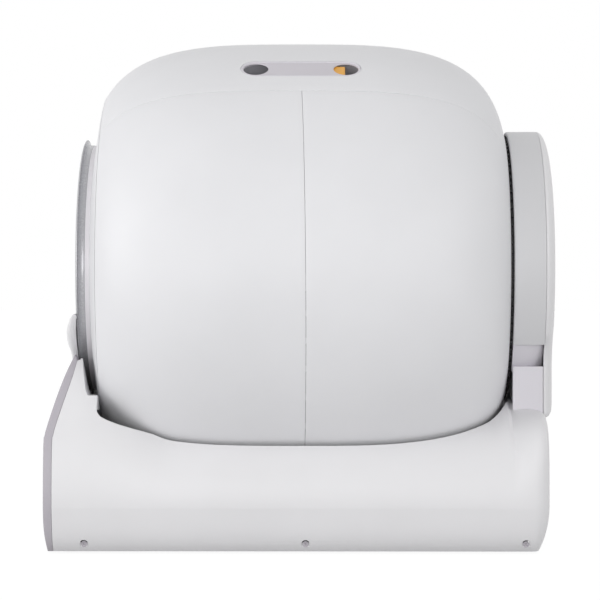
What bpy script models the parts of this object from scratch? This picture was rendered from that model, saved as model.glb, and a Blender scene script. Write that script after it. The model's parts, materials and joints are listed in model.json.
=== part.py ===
# A self cleaning litter box: a barrel drum on four rollers in a low tub, turned by a gear at its rear.
# Metres, +Z up, +X to the rear, -X to the entry, the near side at -Y, the origin under the middle.
import math

import bmesh
import bpy
from mathutils import Matrix, Vector

# Overall
depth = 0.530
drum_radius = 0.2435
drum_floor_gap = 0.0535
base_inset = 0.113
axis_height = drum_radius + drum_floor_gap
base_width = 2 * drum_radius - base_inset
front_x = -depth / 2
back_x = depth / 2

# Fits
seat_gap = 0.0003
running_gap = 0.001
turning_gap = 0.0045
shutter_gap = 0.0014
overrun = 0.020
fine_overrun = 0.002

# Drum
drum_end_room = 0.0373
drum_half_length = depth / 2 - drum_end_room
drum_middle_x = -0.005
drum_seam_x = 0.0058
drum_wall = 0.003
seam_gap = 0.0004
end_power = 3.4
round_power = 4.9
round_steps = 48
profile_steps = 8
cap_drop = 0.0565
cap_radius = drum_radius - cap_drop
cap_rise = 0.0103
cap_power = 0.85
cap_profile_steps = 5
rear_lip = 0.003
cover_angle = 42.0
cover_gap = 0.0008

# Entry ring
ring_radius = 0.1397
ring_wall = 0.0122
ring_bore = ring_radius - ring_wall
ring_neck_drop = 0.0062
ring_neck_length = 0.0044
ring_rim_depth = 0.0113
ring_round_share = 0.45
ring_back_share = 0.3
ring_steps = 48
neck_radius = ring_radius - ring_neck_drop

# Handle in the top cover
handle_angle = 30.5
handle_length = 0.1266
handle_width = 0.042
handle_middle_x = 0.0008
handle_depth = 0.023
handle_floor = 0.0025
handle_plate = 0.0035
handle_sink = 0.0035
handle_border = 0.0025
handle_inset = 0.0006
handle_plate_step = 0.0012
finger_radius = 0.013
finger_spread = 0.094

# Latch in the handle
latch_length = 0.026
latch_width = 0.020
latch_height = 0.0065
latch_show = 0.0115

# Cover hinges
hinge_spread = 0.140
hinge_length = 0.030
hinge_lug = 0.012
hinge_radius = 0.0028
hinge_pin_radius = 0.0013
hinge_proud = 0.0002
hinge_leaf = 0.012

# Waste port and its shutter
port_half_length = 0.080
port_first_angle = 54.0
port_last_angle = 88.0
shutter_lap = 0.010
shutter_lap_angle = 3.0
shutter_wall = 0.002

# Sifting screen and litter liner
screen_first_angle = 96.0
screen_last_angle = 150.0
screen_half_length = 0.110
screen_thickness = 0.003
slot_length = 0.090
slot_width = 0.010
slot_rows = 5
slot_columns = 2
liner_half_angle = 24.0
liner_half_length = 0.130
liner_thickness = 0.002

# Drive
ring_teeth = 54
pinion_teeth = 10
gear_module = 0.004
pressure_angle = 25.0
gear_addendum_share = 0.8
ring_addendum_share = 0.62
gear_dedendum_share = 1.1
gear_backlash = 0.0006
gear_rim = 0.009
gear_depth = 0.0125
pinion_depth = 0.0095
pinion_bore_shaft = 0.004
flange_lip = 0.0206
flange_thickness = 0.0028
ring_pitch = gear_module * ring_teeth / 2
pinion_pitch = gear_module * pinion_teeth / 2
pinion_drop = ring_pitch - pinion_pitch
gear_radius = ring_pitch + gear_module * gear_dedendum_share + gear_rim
flange_radius = gear_radius + flange_lip
rear_radius = flange_radius + rear_lip

# Tower
tower_rim = 0.0065
tower_radius = flange_radius + tower_rim
tower_stand_off = 0.0028
arch_wall = 0.0042
arch_angle = 123.5
tower_wall = 0.003
neck_inset = 0.0415
neck_half_width = tower_radius - neck_inset
neck_top_inset = 0.0435
neck_top_drop = tower_radius - neck_top_inset
neck_flare = 0.018
neck_flare_share = 0.4
head_angle = 120
grip_depth = 0.016
grip_radius = tower_radius - grip_depth
gear_room_gap = 0.0061
gear_room_radius = gear_radius + gear_room_gap
cover_depth = 0.0135
cover_drop = 0.1595
cover_round = 0.030
cover_round_power = 2.2
cover_foot_share = 0.4
cover_shares = (0.0, 0.30, 0.60, 0.82, 0.95, 1.0)
tower_foot_inset = 0.0220
arch_back_x = back_x - cover_depth
cover_bottom = axis_height - cover_drop
tower_foot_back_x = back_x - tower_foot_inset

# Tub
tub_bottom = 0.003
tub_bulge_height = 0.050
tub_low_reach = 0.0707
tub_drop = 0.147
tub_front_drop = 0.069
tub_shoulder = axis_height - tub_drop - tub_bulge_height
tub_front_shoulder = axis_height - tub_front_drop - tub_bulge_height
tub_rise_start = 0.135
tub_rise_end = 0.030
tub_rise_start_x = front_x + tub_rise_start
tub_rise_end_x = front_x + tub_rise_end
tub_power = 2.6
tub_low_power = 3.0
tub_wall = 0.003
tub_back_inset = 0.0107
tub_back_x = back_x - tub_back_inset
tub_round = 0.016
tub_tuck = 0.010
ring_room_gap = 0.0028
ring_room_radius = ring_radius + ring_room_gap
notch_inset = 0.0085
notch_length = 0.0183
notch_drop = 0.134
notch_round = 0.006
notch_round_shares = ((1.0, 0.92), (1.42, 0.0))
notch_run = 0.0612
notch_fall = 0.0408
notch_fall_shares = (
    (0.0, 0.0),
    (0.0, 0.39),
    (0.06, 0.52),
    (0.17, 0.60),
    (0.36, 0.72),
    (0.66, 0.86),
    (1.0, 1.0),
    (1.14, 0.86),
)
notch_end_share = 1.31
horn_tip_length = 0.0028
horn_tip_drop = 0.0040
horn_drop = 0.0925
horn_solid_drop = 0.149
notch_height = axis_height - notch_drop
horn_height = axis_height - horn_drop
horn_solid_height = axis_height - horn_solid_drop

# Front fascia, which stands upright and then leans back
fascia_thickness = 0.0085
fascia_bend_drop = 0.003
fascia_lean_x = 0.0265
fascia_lean_shares = ((0.04, 0.12), (0.16, 0.26), (0.62, 0.70))
fascia_top_shares = (0.4, 0.7)
fascia_foot_tuck = 0.003
fascia_foot_share = 0.3

# Entry step
step_half_angle = 64.0
step_reach = 0.0105
step_height = 0.030
step_end_height = 0.0115
step_end_share = 0.26
step_power = 7
step_stations = 17

# Base pan, feet, side screws
pan_thickness = 0.0035
pan_rise = 0.001
pan_side_room = 0.029
pan_half_width = base_width / 2 - pan_side_room
pan_corner = 0.030
pan_back_gap = 0.004
foot_radius = 0.013
foot_taper_share = 0.92
foot_height = 0.0037
foot_end_room = 0.075
foot_side_room = 0.062
foot_spread_x = depth / 2 - foot_end_room
foot_spread_y = base_width / 2 - foot_side_room
screw_radius = 0.0032
screw_length = 0.010
screw_recess_radius = 0.0044
screw_recess_depth = 0.0025
screw_height = 0.0112
screw_front_room = 0.041
screw_middle_x = 0.0036
screw_back_room = 0.035
screw_places_x = (front_x + screw_front_room, screw_middle_x, back_x - screw_back_room)

# Rollers
roller_radius = 0.018
roller_width = 0.014
roller_angle = 33.0
roller_spread_x = 0.200
axle_radius = 0.003
bracket_wall = 0.004
bracket_half_depth = 0.008
bracket_base = 0.003
bracket_head = 0.008

# Drawer
drawer_side_room = 0.0685
drawer_back_room = 0.075
drawer_half_width = base_width / 2 - drawer_side_room
drawer_wall = 0.0025
drawer_floor = 0.0022
drawer_length = depth - drawer_back_room
drawer_drum_gap = 0.0035
drawer_front_lap = 0.006
drawer_front_half_width = drawer_half_width + drawer_front_lap
runner_height = 0.0020
runner_width = 0.010
pull_half_width = 0.045
pull_height = 0.016
pull_depth = 0.0055
pull_drop = 0.010
bag_frame_height = 0.0045
bag_frame_width = 0.0035
bag_frame_drum_gap = 0.0055
bag_frame_top = drum_floor_gap - bag_frame_drum_gap
filter_length = 0.014
filter_width = 0.080
filter_headroom = 0.005

# Controls on the fascia
control_drop = 0.0395
control_drawer_gap = 0.013
control_height = axis_height - ring_room_radius - control_drop
drawer_front_top = control_height - control_drawer_gap
fascia_upright_height = control_height - fascia_bend_drop
button_radius = 0.0055
button_travel = 0.0012
button_places_y = (-0.066, -0.046, 0.046)
lens_half_width = 0.026
lens_half_height = 0.0050
lens_thickness = 0.0020
sensor_radius = 0.0055
sensor_place_y = 0.066

# Motor, gearbox and electronics
gearbox_size = (0.0215, 0.044, 0.048)
motor_radius = 0.0120
motor_length = 0.050
motor_bracket_thickness = 0.0016
pinion_height = axis_height - pinion_drop
motor_bracket_drop = 0.059
motor_bracket_height = 0.085
motor_bracket_low = pinion_height - motor_bracket_drop
motor_bracket_high = motor_bracket_low + motor_bracket_height
motor_bracket_half_width = 0.058
boss_radius = 0.005
boss_place_y = 0.045
boss_drop = 0.051
boss_height = pinion_height - boss_drop
board_size = (0.0016, 0.110, 0.070)
board_drop_x = 0.0200
board_top_room = 0.0755
board_height = axis_height + tower_radius - board_top_room
post_radius = 0.0032
post_inset = 0.007
socket_size = (0.012, 0.014, 0.011)
socket_side_room = 0.102
socket_place_y = base_width / 2 - socket_side_room
socket_height = 0.034
socket_bore = 0.0032

white = (0.88, 0.88, 0.89)
lilac_grey = (0.62, 0.60, 0.66)
ring_grey = (0.50, 0.50, 0.53)
tower_grey = (0.80, 0.80, 0.82)
dark_grey = (0.10, 0.10, 0.11)
orange = (0.90, 0.45, 0.05)
steel = (0.60, 0.60, 0.62)
gear_white = (0.75, 0.75, 0.72)
board_green = (0.05, 0.22, 0.12)
rubber = (0.05, 0.05, 0.05)

# The exact solver leaves open edges in these
hard_to_cut = ("base_tub", "ring_gear", "sifting_screen")

for old in list(bpy.data.objects):
    bpy.data.objects.remove(old, do_unlink=True)
parts = bpy.data.collections.new("self_cleaning_litter_box")
cutters = bpy.data.collections.new("cutters")
bpy.context.scene.collection.children.link(parts)
bpy.context.scene.collection.children.link(cutters)


# Materials and objects


def material(name, colour, roughness=0.45, metallic=0.0):
    """A Principled material of one colour."""
    look = bpy.data.materials.get(name) or bpy.data.materials.new(name)
    look.use_nodes = True
    shader = look.node_tree.nodes["Principled BSDF"]
    shader.inputs["Base Color"].default_value = (*colour, 1)
    shader.inputs["Roughness"].default_value = roughness
    shader.inputs["Metallic"].default_value = metallic
    return look


def add(name, mesh):
    """A new object among the parts, its place in its mesh."""
    piece = bpy.data.objects.new(name, mesh)
    parts.objects.link(piece)
    return piece


def finish(piece, colour, roughness=0.45, metallic=0.0, smooth=True):
    """Its own material, and smooth shading that keeps the sharp edges."""
    piece.data.materials.clear()
    piece.data.materials.append(material(piece.name, colour, roughness, metallic))
    if smooth:
        piece.data.shade_smooth()
        piece.data.set_sharp_from_angle(angle=math.radians(35))
    return piece


def pivoted(piece, place):
    """The same piece with its origin moved to its joint."""
    shift = Matrix.Translation(Vector(place))
    piece.data.transform(shift.inverted() @ piece.matrix_world)
    piece.matrix_world = shift
    return piece


def carried(piece, mover):
    """The piece parented to the piece that it moves with, and left where it is."""
    bpy.context.view_layer.update()
    piece.parent = mover
    piece.matrix_parent_inverse = mover.matrix_world.inverted()
    return piece


def boolean(piece, tool, operation):
    """A live Boolean, whose tool goes among the hidden cutters."""
    modifier = piece.modifiers.new(tool.name, "BOOLEAN")
    modifier.operation = operation
    modifier.solver = "MANIFOLD" if piece.name in hard_to_cut else "EXACT"
    modifier.object = tool
    if tool.name not in cutters.objects:
        parts.objects.unlink(tool)
        cutters.objects.link(tool)
        tool.hide_render = True
        tool.display_type = "WIRE"
    return piece


def cut(piece, *tools):
    for tool in tools:
        boolean(piece, tool, "DIFFERENCE")
    return piece


def keep(piece, tool):
    return boolean(piece, tool, "INTERSECT")


def join(piece, *tools):
    for tool in tools:
        boolean(piece, tool, "UNION")
    return piece


# Basic shapes


def box(name, low, high):
    """A box between two corners."""
    bm = bmesh.new()
    bmesh.ops.create_cube(bm, size=1)
    low, high = Vector(low), Vector(high)
    bmesh.ops.scale(bm, vec=high - low, verts=bm.verts)
    bmesh.ops.translate(bm, vec=(low + high) / 2, verts=bm.verts)
    mesh = bpy.data.meshes.new(name)
    bm.to_mesh(mesh)
    bm.free()
    return add(name, mesh)


def rod(name, start, end, radius, sides=24, end_radius=None):
    """A round bar, or a cone, from one point to another."""
    start, end = Vector(start), Vector(end)
    along = end - start
    bm = bmesh.new()
    bmesh.ops.create_cone(
        bm,
        cap_ends=True,
        segments=sides,
        radius1=radius,
        radius2=radius if end_radius is None else end_radius,
        depth=along.length,
    )
    turn = along.to_track_quat("Z", "Y").to_matrix().to_4x4()
    bm.transform(Matrix.Translation((start + end) / 2) @ turn)
    mesh = bpy.data.meshes.new(name)
    bm.to_mesh(mesh)
    bm.free()
    return add(name, mesh)


def turned(name, profile, steps=round_steps, height=axis_height, side=0.0):
    """A ring turned about a line along X, from (x, radius) points that run forwards along its outside."""
    bm = bmesh.new()
    points = [bm.verts.new((radius, 0, x)) for x, radius in profile]
    for first, second in zip(points, points[1:] + points[:1]):
        bm.edges.new((first, second))
    mesh = bpy.data.meshes.new(name)
    bm.to_mesh(mesh)
    bm.free()
    piece = add(name, mesh)
    piece.rotation_euler = (0, math.radians(90), 0)
    piece.location = (0, side, height)
    screw = piece.modifiers.new("Turn", "SCREW")
    screw.axis = "Z"
    screw.steps = steps
    screw.render_steps = steps
    screw.use_merge_vertices = True
    screw.merge_threshold = 0.0001
    return piece


def slab(name, outlines, low, high, axis):
    """A flat plate across an axis: the first outline is its edge, and any others are holes in it."""
    curve = bpy.data.curves.new(name, "CURVE")
    curve.dimensions = "2D"
    curve.fill_mode = "BOTH"
    curve.extrude = (high - low) / 2
    for outline in outlines:
        spline = curve.splines.new("POLY")
        spline.points.add(len(outline) - 1)
        for point, (u, v) in zip(spline.points, outline):
            point.co = (u, v, 0, 1)
        spline.use_cyclic_u = True
    guide = bpy.data.objects.new(name + "_outline", curve)
    parts.objects.link(guide)
    graph = bpy.context.evaluated_depsgraph_get()
    mesh = bpy.data.meshes.new_from_object(guide.evaluated_get(graph))
    bpy.data.objects.remove(guide, do_unlink=True)
    frames = {
        "X": Matrix(((0, 0, 1, 0), (1, 0, 0, 0), (0, 1, 0, 0), (0, 0, 0, 1))),
        "Y": Matrix(((1, 0, 0, 0), (0, 0, -1, 0), (0, 1, 0, 0), (0, 0, 0, 1))),
        "Z": Matrix.Identity(4),
    }
    middle = Vector([(low + high) / 2 if letter == axis else 0 for letter in "XYZ"])
    bm = bmesh.new()
    bm.from_mesh(mesh)
    bmesh.ops.remove_doubles(bm, verts=bm.verts, dist=0.00001)
    bmesh.ops.recalc_face_normals(bm, faces=bm.faces)
    bm.transform(Matrix.Translation(middle) @ frames[axis])
    bm.to_mesh(mesh)
    bm.free()
    mesh.name = name
    return add(name, mesh)


def loft(name, rings, strips=False):
    """A solid skinned over closed rings of points, whose ends are capped flat or in level strips."""
    bm = bmesh.new()
    rows = [[bm.verts.new(point) for point in ring] for ring in rings]
    count = len(rows[0])
    for row, after in zip(rows, rows[1:]):
        for i in range(count):
            j = (i + 1) % count
            bm.faces.new((row[i], row[j], after[j], after[i]))
    for row in (rows[0], rows[-1]):
        if not strips:
            bm.faces.new(row)
            continue
        for i in range(count // 2):
            corners = [row[i], row[i + 1], row[count - 2 - i], row[count - 1 - i]]
            bm.faces.new(dict.fromkeys(corners))
    bmesh.ops.recalc_face_normals(bm, faces=bm.faces)
    mesh = bpy.data.meshes.new(name)
    bm.to_mesh(mesh)
    bm.free()
    return add(name, mesh)


# Places round the drum's axis: an angle is 0 at the top and grows towards the near side


def around(angle, radius, x=0.0):
    turn = math.radians(angle)
    return Vector((x, -radius * math.sin(turn), axis_height + radius * math.cos(turn)))


def arc(radius, first, last, steps):
    """(y, z) points of an arc about the drum's axis."""
    turns = [first + (last - first) * i / steps for i in range(steps + 1)]
    return [tuple(around(turn, radius)[1:]) for turn in turns]


def wedge(name, first, last, low, high, reach=2 * drum_radius):
    """All that lies between two angles round the drum's axis."""
    outline = [(0, axis_height)] + arc(reach, first, last, 8)
    return slab(name, [outline], low, high, "X")


def barrel_radius(x, inset=0.0):
    """The drum's radius at x, or that of a wall some way inside it."""
    share = abs(x - drum_middle_x) / (drum_half_length - inset)
    rise = max(0.0, 1 - share**end_power)
    return (drum_radius - inset) * rise ** (1 / round_power)


def barrel_x(radius, inset=0.0):
    """How far from the drum's middle its wall has a radius."""
    rise = 1 - (radius / (drum_radius - inset)) ** round_power
    return (drum_half_length - inset) * rise ** (1 / end_power)


def barrel_line(start, end, inset=0.0, count=profile_steps):
    """(x, radius) points along the drum's wall, closer together where it bends."""
    reach = drum_half_length - inset

    def turn(x):
        return math.asin(max(-1.0, min(1.0, (x - drum_middle_x) / reach)))

    first, last = turn(start), turn(end)
    turns = [first + (last - first) * i / count for i in range(count + 1)]
    places = [drum_middle_x + reach * math.sin(t) for t in turns]
    places[0], places[-1] = start, end
    return [(x, barrel_radius(x, inset)) for x in places]


def barrel_wall(name, front, back, outer=0.0, wall=drum_wall, count=profile_steps):
    """A turned piece of the drum's wall between two places along it."""
    outside = barrel_line(back, front, outer, count)
    inside = barrel_line(front, back, outer + wall, count)
    return turned(name, outside + inside)


def barrel_room(name, front, back, outer, bore):
    """All that lies inside a wall of the drum and outside a bore."""
    return turned(name, barrel_line(back, front, outer) + [(front, bore), (back, bore)])


# Places along the part that follow from the drum
cap_x = drum_middle_x - barrel_x(cap_radius)
neck_x = cap_x - cap_rise
ring_back_x = neck_x - seat_gap
ring_rim_x = ring_back_x - ring_neck_length
ring_front_x = ring_rim_x - ring_rim_depth
step_front_x = ring_front_x - step_reach
notch_front_x = ring_front_x + notch_inset
notch_back_x = notch_front_x + notch_length
drum_back_x = drum_middle_x + barrel_x(rear_radius)
gear_front_x = drum_back_x + seat_gap
gear_teeth_x = gear_front_x + flange_thickness
tower_front_x = gear_teeth_x + tower_stand_off


# The base


def tub_shoulder_at(x):
    """How far the tub's shoulder rises above its bulge, more towards the entry."""
    share = (tub_rise_start_x - x) / (tub_rise_start_x - tub_rise_end_x)
    share = min(1.0, max(0.0, share))
    blend = share * share * (3 - 2 * share)
    return tub_shoulder + (tub_front_shoulder - tub_shoulder) * blend


def tub_section(x, inset=0.0, floor=tub_bottom, tuck=0.0):
    """The tub's outline at one place along it."""
    half = base_width / 2 - inset
    rise = tub_shoulder_at(x) - inset
    low = tub_low_reach - inset / 2
    near = []
    for share in (1.0, 0.8, 0.5, 0.22):
        drop = (tub_bulge_height - floor) * share
        y = half * max(0.0, 1 - min(drop / low, 0.95) ** tub_low_power) ** (1 / tub_low_power)
        near.append((y, tub_bulge_height - drop))
    for turn in range(0, 90, 10):
        angle = math.radians(turn)
        y = half * math.cos(angle) ** (2 / tub_power)
        near.append((y, tub_bulge_height + rise * math.sin(angle) ** (2 / tub_power)))
    line = near + [(0, tub_bulge_height + rise)] + [(-y, z) for y, z in reversed(near)]
    drops = [max(0.0, (tub_bulge_height - z) / tub_bulge_height) for _, z in line]
    return [(x - tuck * drop**2, y, z) for (y, z), drop in zip(line, drops)]


def tub_solid(name, front, back, inset=0.0, floor=tub_bottom, rounding=tub_round):
    """The tub's outer form, or the room inside it."""
    stations = [front + (tub_rise_start_x - front) * i / 6 for i in range(7)]
    stations.append(back - rounding)
    rings = [tub_section(x, inset, floor) for x in stations]
    for turn in (25, 50, 75):
        angle = math.radians(turn)
        x = back - rounding * (1 - math.sin(angle))
        shrink = inset + rounding * (1 - math.cos(angle))
        rings.append(tub_section(x, shrink, floor, tub_tuck * math.sin(angle)))
    return loft(name, rings, strips=True)


def fascia_line(offset):
    """(x, z) points up the front of the base, set back by an offset."""
    x = front_x + offset
    lean = fascia_lean_x
    height = horn_height - fascia_upright_height
    foot = fascia_foot_tuck if offset == 0 else 0
    return [
        (x + foot, tub_bottom),
        (x, tub_bottom + fascia_foot_share * (fascia_upright_height - tub_bottom)),
        (x, fascia_upright_height),
        *((x + u * lean, fascia_upright_height + v * height) for u, v in fascia_lean_shares),
        (front_x + lean + fascia_top_shares[0] * offset, horn_height - fascia_top_shares[1] * offset),
    ]


fascia_back_x = front_x + fascia_thickness
half_out = base_width / 2 + overrun


def drum_room(name):
    """The room that the drum, its ring and its rear flange turn in."""
    room = turning_gap
    mouth_x = drum_middle_x - barrel_x(ring_room_radius, -room)
    end_x = drum_middle_x + barrel_x(flange_radius + 3 * room, -room)
    inner = ring_bore / 2
    return turned(
        name,
        [
            (tower_front_x - seat_gap, flange_radius + room),
            (tower_front_x - room, flange_radius + 2 * room),
            *barrel_line(end_x, mouth_x, -room, 2 * profile_steps),
            (front_x - overrun, ring_room_radius),
            (front_x - overrun, inner),
            (tower_front_x - seat_gap, inner),
        ],
    )


def base_tub():
    tub = tub_solid("base_tub", fascia_back_x + seat_gap, tub_back_x)
    line = fascia_line(fascia_thickness + seat_gap)
    rim = [
        (notch_front_x - horn_tip_length, horn_height - horn_tip_drop),
        (notch_front_x, horn_height - horn_tip_drop),
        *((notch_front_x + notch_round * u, notch_height + notch_round * v) for u, v in notch_round_shares),
        *((notch_back_x + notch_run * u, notch_height - notch_fall * v) for u, v in notch_fall_shares),
        (notch_back_x + notch_run * notch_end_share, horn_height + overrun),
        (tub_back_x + overrun, horn_height + overrun),
        (tub_back_x + overrun, tub_bottom - overrun),
    ]
    line[0] = (line[0][0], tub_bottom - overrun)
    inner = [(x + tub_wall, z) for x, z in line if z < horn_solid_height]
    inner += [
        (inner[-1][0], horn_solid_height),
        (notch_back_x, horn_solid_height),
        (notch_back_x, horn_height + overrun),
        *rim[-2:],
    ]
    inside = tub_solid(
        "tub_inside",
        fascia_back_x + seat_gap + fine_overrun,
        tub_back_x - tub_wall,
        tub_wall,
        tub_bottom - fine_overrun,
        tub_round - tub_wall,
    )
    keep(inside, slab("tub_inside_side", [inner], -half_out, half_out, "Y"))
    keep(tub, slab("tub_side", [line + rim], -half_out, half_out, "Y"))
    cut(
        tub,
        inside,
        drum_room("tub_drum_room"),
        box(
            "tub_drawer_mouth",
            (front_x, -drawer_half_width - running_gap * 2, tub_bottom - overrun),
            (fascia_back_x + tub_wall + overrun, drawer_half_width + running_gap * 2, drawer_front_top),
        ),
        box(
            "tub_tower_mouth",
            (tower_front_x - seat_gap, -neck_half_width - seat_gap, tub_bulge_height),
            (arch_back_x + seat_gap, neck_half_width + seat_gap, horn_height + overrun),
        ),
        box(
            "tub_cover_seat",
            (arch_back_x, -neck_half_width - seat_gap, cover_bottom - seat_gap),
            (back_x + overrun, neck_half_width + seat_gap, horn_height + overrun),
        ),
        socket_room("tub_socket_hole", seat_gap),
    )
    for side in (-1, 1):
        for number, x in enumerate(screw_places_x):
            cut(tub, screw_room(f"tub_screw_hole_{side}_{number}", x, side))
    return finish(tub, white, 0.4)


def side_y_at(height):
    """Half the tub's width at a height below its bulge."""
    drop = (tub_bulge_height - height) / tub_low_reach
    return base_width / 2 * (1 - drop**tub_low_power) ** (1 / tub_low_power)


def screw_room(name, x, side):
    """The counterbore and hole of one side screw."""
    face = side_y_at(screw_height)
    start = (x, side * (face - screw_recess_depth), screw_height)
    room = rod(name, start, (x, side * (face + overrun), screw_height), screw_recess_radius, 16)
    deep = (x, side * (face - screw_length - overrun), screw_height)
    middle = (x, side * face, screw_height)
    return join(room, rod(name + "_shank", deep, middle, screw_radius * 0.5 + seat_gap, 12))


def side_screws():
    for side, word in ((-1, "near"), (1, "far")):
        for number, x in enumerate(screw_places_x, 1):
            face = side_y_at(screw_height) - screw_recess_depth - seat_gap
            name = f"side_screw_{word}_{number}"
            head = rod(
                name,
                (x, side * (face + screw_radius * 0.5), screw_height),
                (x, side * (face + seat_gap), screw_height),
                screw_radius,
                16,
            )
            shank = rod(
                name + "_shank",
                (x, side * (face + screw_radius * 0.25), screw_height),
                (x, side * (face - screw_length), screw_height),
                screw_radius * 0.5,
                12,
            )
            finish(join(head, shank), steel, 0.35, 0.9)


def base_pan():
    """The floor of the base, with the runners that the drawer slides on."""
    low = tub_bottom + pan_rise
    corner = pan_corner
    front = fascia_back_x + tub_wall + seat_gap
    back = tub_back_x - tub_wall - tub_tuck - pan_back_gap
    outline = []
    for cx, cy, start in (
        (back - corner, pan_half_width - corner, 0),
        (front + corner, pan_half_width - corner, 90),
        (front + corner, -pan_half_width + corner, 180),
        (back - corner, -pan_half_width + corner, 270),
    ):
        for turn in range(0, 91, 30):
            angle = math.radians(start + turn)
            outline.append((cx + corner * math.cos(angle), cy + corner * math.sin(angle)))
    pan = slab("base_pan", [outline], low, low + pan_thickness, "Z")
    for side in (-1, 1):
        middle = side * (drawer_half_width - runner_width)
        runner = box(
            f"pan_runner_{side}",
            (front + overrun, middle - runner_width / 2, low + pan_thickness / 2),
            (tower_front_x - overrun, middle + runner_width / 2, low + pan_thickness + runner_height),
        )
        join(pan, runner)
    return finish(pan, dark_grey, 0.6)


pan_top = tub_bottom + pan_rise + pan_thickness


def feet():
    for number, (sx, sy) in enumerate(((-1, -1), (-1, 1), (1, -1), (1, 1)), 1):
        x, y = sx * foot_spread_x, sy * foot_spread_y
        tread = foot_radius * foot_taper_share
        foot = rod(f"foot_{number}", (x, y, 0), (x, y, foot_height), tread, 20, foot_radius)
        finish(foot, rubber, 0.8)


def front_fascia():
    """The grey front, cut round the entry ring, the drawer and the controls."""
    outer = fascia_line(0)
    inner = fascia_line(fascia_thickness)
    plate = slab("front_fascia", [outer + inner[::-1]], -half_out, half_out, "Y")
    start, end = front_x - overrun, fascia_back_x + fascia_lean_x + overrun
    rings = [[(x, y, z) for _, y, z in tub_section(front_x)] for x in (start, end)]
    keep(plate, loft("fascia_outline", rings))
    cut(
        plate,
        rod(
            "fascia_ring_room",
            (start, 0, axis_height),
            (end, 0, axis_height),
            ring_room_radius,
            round_steps,
        ),
        box(
            "fascia_drawer_mouth",
            (start, -drawer_front_half_width - running_gap / 2, tub_bottom - overrun),
            (end, drawer_front_half_width + running_gap / 2, drawer_front_top + running_gap / 2),
        ),
        box(
            "fascia_lens_seat",
            (start, -lens_half_width - seat_gap, control_height - lens_half_height - seat_gap),
            (
                front_x + lens_thickness,
                lens_half_width + seat_gap,
                control_height + lens_half_height + seat_gap,
            ),
        ),
    )
    for number, y in enumerate((*button_places_y, sensor_place_y)):
        hole = rod(
            f"fascia_hole_{number}",
            (start, y, control_height),
            (end, y, control_height),
            button_radius + seat_gap,
            20,
        )
        cut(plate, hole)
    return finish(plate, lilac_grey, 0.4)


def controls():
    lens = box(
        "display_lens",
        (front_x + seat_gap, -lens_half_width, control_height - lens_half_height),
        (front_x + lens_thickness - seat_gap, lens_half_width, control_height + lens_half_height),
    )
    finish(lens, dark_grey, 0.1)
    for number, y in enumerate(button_places_y, 1):
        button = rod(
            f"button_{number}",
            (front_x, y, control_height),
            (fascia_back_x - button_travel, y, control_height),
            button_radius,
            20,
        )
        finish(pivoted(button, (front_x, y, control_height)), white, 0.4)
    sensor = rod(
        "presence_sensor",
        (front_x, sensor_place_y, control_height),
        (fascia_back_x, sensor_place_y, control_height),
        sensor_radius,
        20,
    )
    finish(sensor, dark_grey, 0.1)


def entry_step():
    """The crescent lip across the foot of the entry, tapered to its two tips."""
    back = ring_front_x - running_gap
    outer = ring_room_radius - seat_gap
    rings = []
    for i in range(step_stations):
        share = 2 * i / (step_stations - 1) - 1
        angle = 180 + step_half_angle * share
        swell = math.sqrt(max(0.0, 1 - abs(share) ** step_power))
        height = step_end_height + (step_height - step_end_height) * swell
        front = back + (step_front_x - back) * (step_end_share + (1 - step_end_share) * swell)
        middle = (back + front) / 2
        ring = []
        for turn in range(0, 360, 30):
            t = math.radians(turn)
            x = middle - (back - front) / 2 * math.cos(t)
            radius = outer - height / 2 + height / 2 * math.sin(t)
            ring.append(around(angle, radius, x))
        rings.append(ring)
    return finish(loft("entry_step", rings), white, 0.4)


# The tower and the drive


def tower_outline(radius, neck, notch=None, foot=0.0, inset=0.0):
    """(y, z) points: a round head, a finger notch on each side if there is one, and a neck."""
    radius -= inset
    neck -= inset
    corner = axis_height - neck_top_drop
    half = [tuple(around(turn, radius)[1:]) for turn in range(0, head_angle + 1, 10)]
    if notch:
        drop = math.degrees(math.acos(neck_top_drop / grip_radius))
        half.append(tuple(around(arch_angle, radius)[1:]))
        half.append(tuple(around(arch_angle, notch - inset)[1:]))
        half.append(tuple(around(180 - drop, notch - inset)[1:]))
    else:
        flare = neck_flare_share * (radius * math.sin(math.radians(head_angle)) - neck)
        half.append((-neck - flare, corner + neck_flare))
    half.append((-neck, corner - (inset if notch else 0)))
    half.append((-neck, foot))
    return half + [(-y, z) for y, z in reversed(half[1:])]


def tower_shell():
    """The tower's front wall and its side wall, standing on the pan and open to the rear."""
    front = tower_front_x + seat_gap * 2
    inner_radius = tower_radius - arch_wall - seat_gap
    foot = pan_top + seat_gap
    outline = tower_outline(inner_radius, neck_half_width, grip_radius, foot)
    tower = slab("tower_shell", [outline], front, arch_back_x, "X")
    hollow = tower_outline(inner_radius, neck_half_width, grip_radius, foot + tower_wall, tower_wall)
    cut(
        tower,
        slab("tower_hollow", [hollow], front + tower_wall, arch_back_x + overrun, "X"),
        rod(
            "tower_gear_room",
            (front - overrun, 0, axis_height),
            (front + overrun, 0, axis_height),
            gear_room_radius,
            round_steps,
        ),
        box(
            "tower_foot_room",
            (tower_foot_back_x, -half_out, 0),
            (arch_back_x + overrun, half_out, cover_bottom),
        ),
    )
    for side in (-1, 1):
        y, z = side * boss_place_y, boss_height
        start, end = front + tower_wall - fine_overrun / 2, motor_plate_x - seat_gap
        join(tower, rod(f"tower_boss_{side}", (start, y, z), (end, y, z), boss_radius, 16))
    return finish(tower, tower_grey, 0.45)


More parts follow.
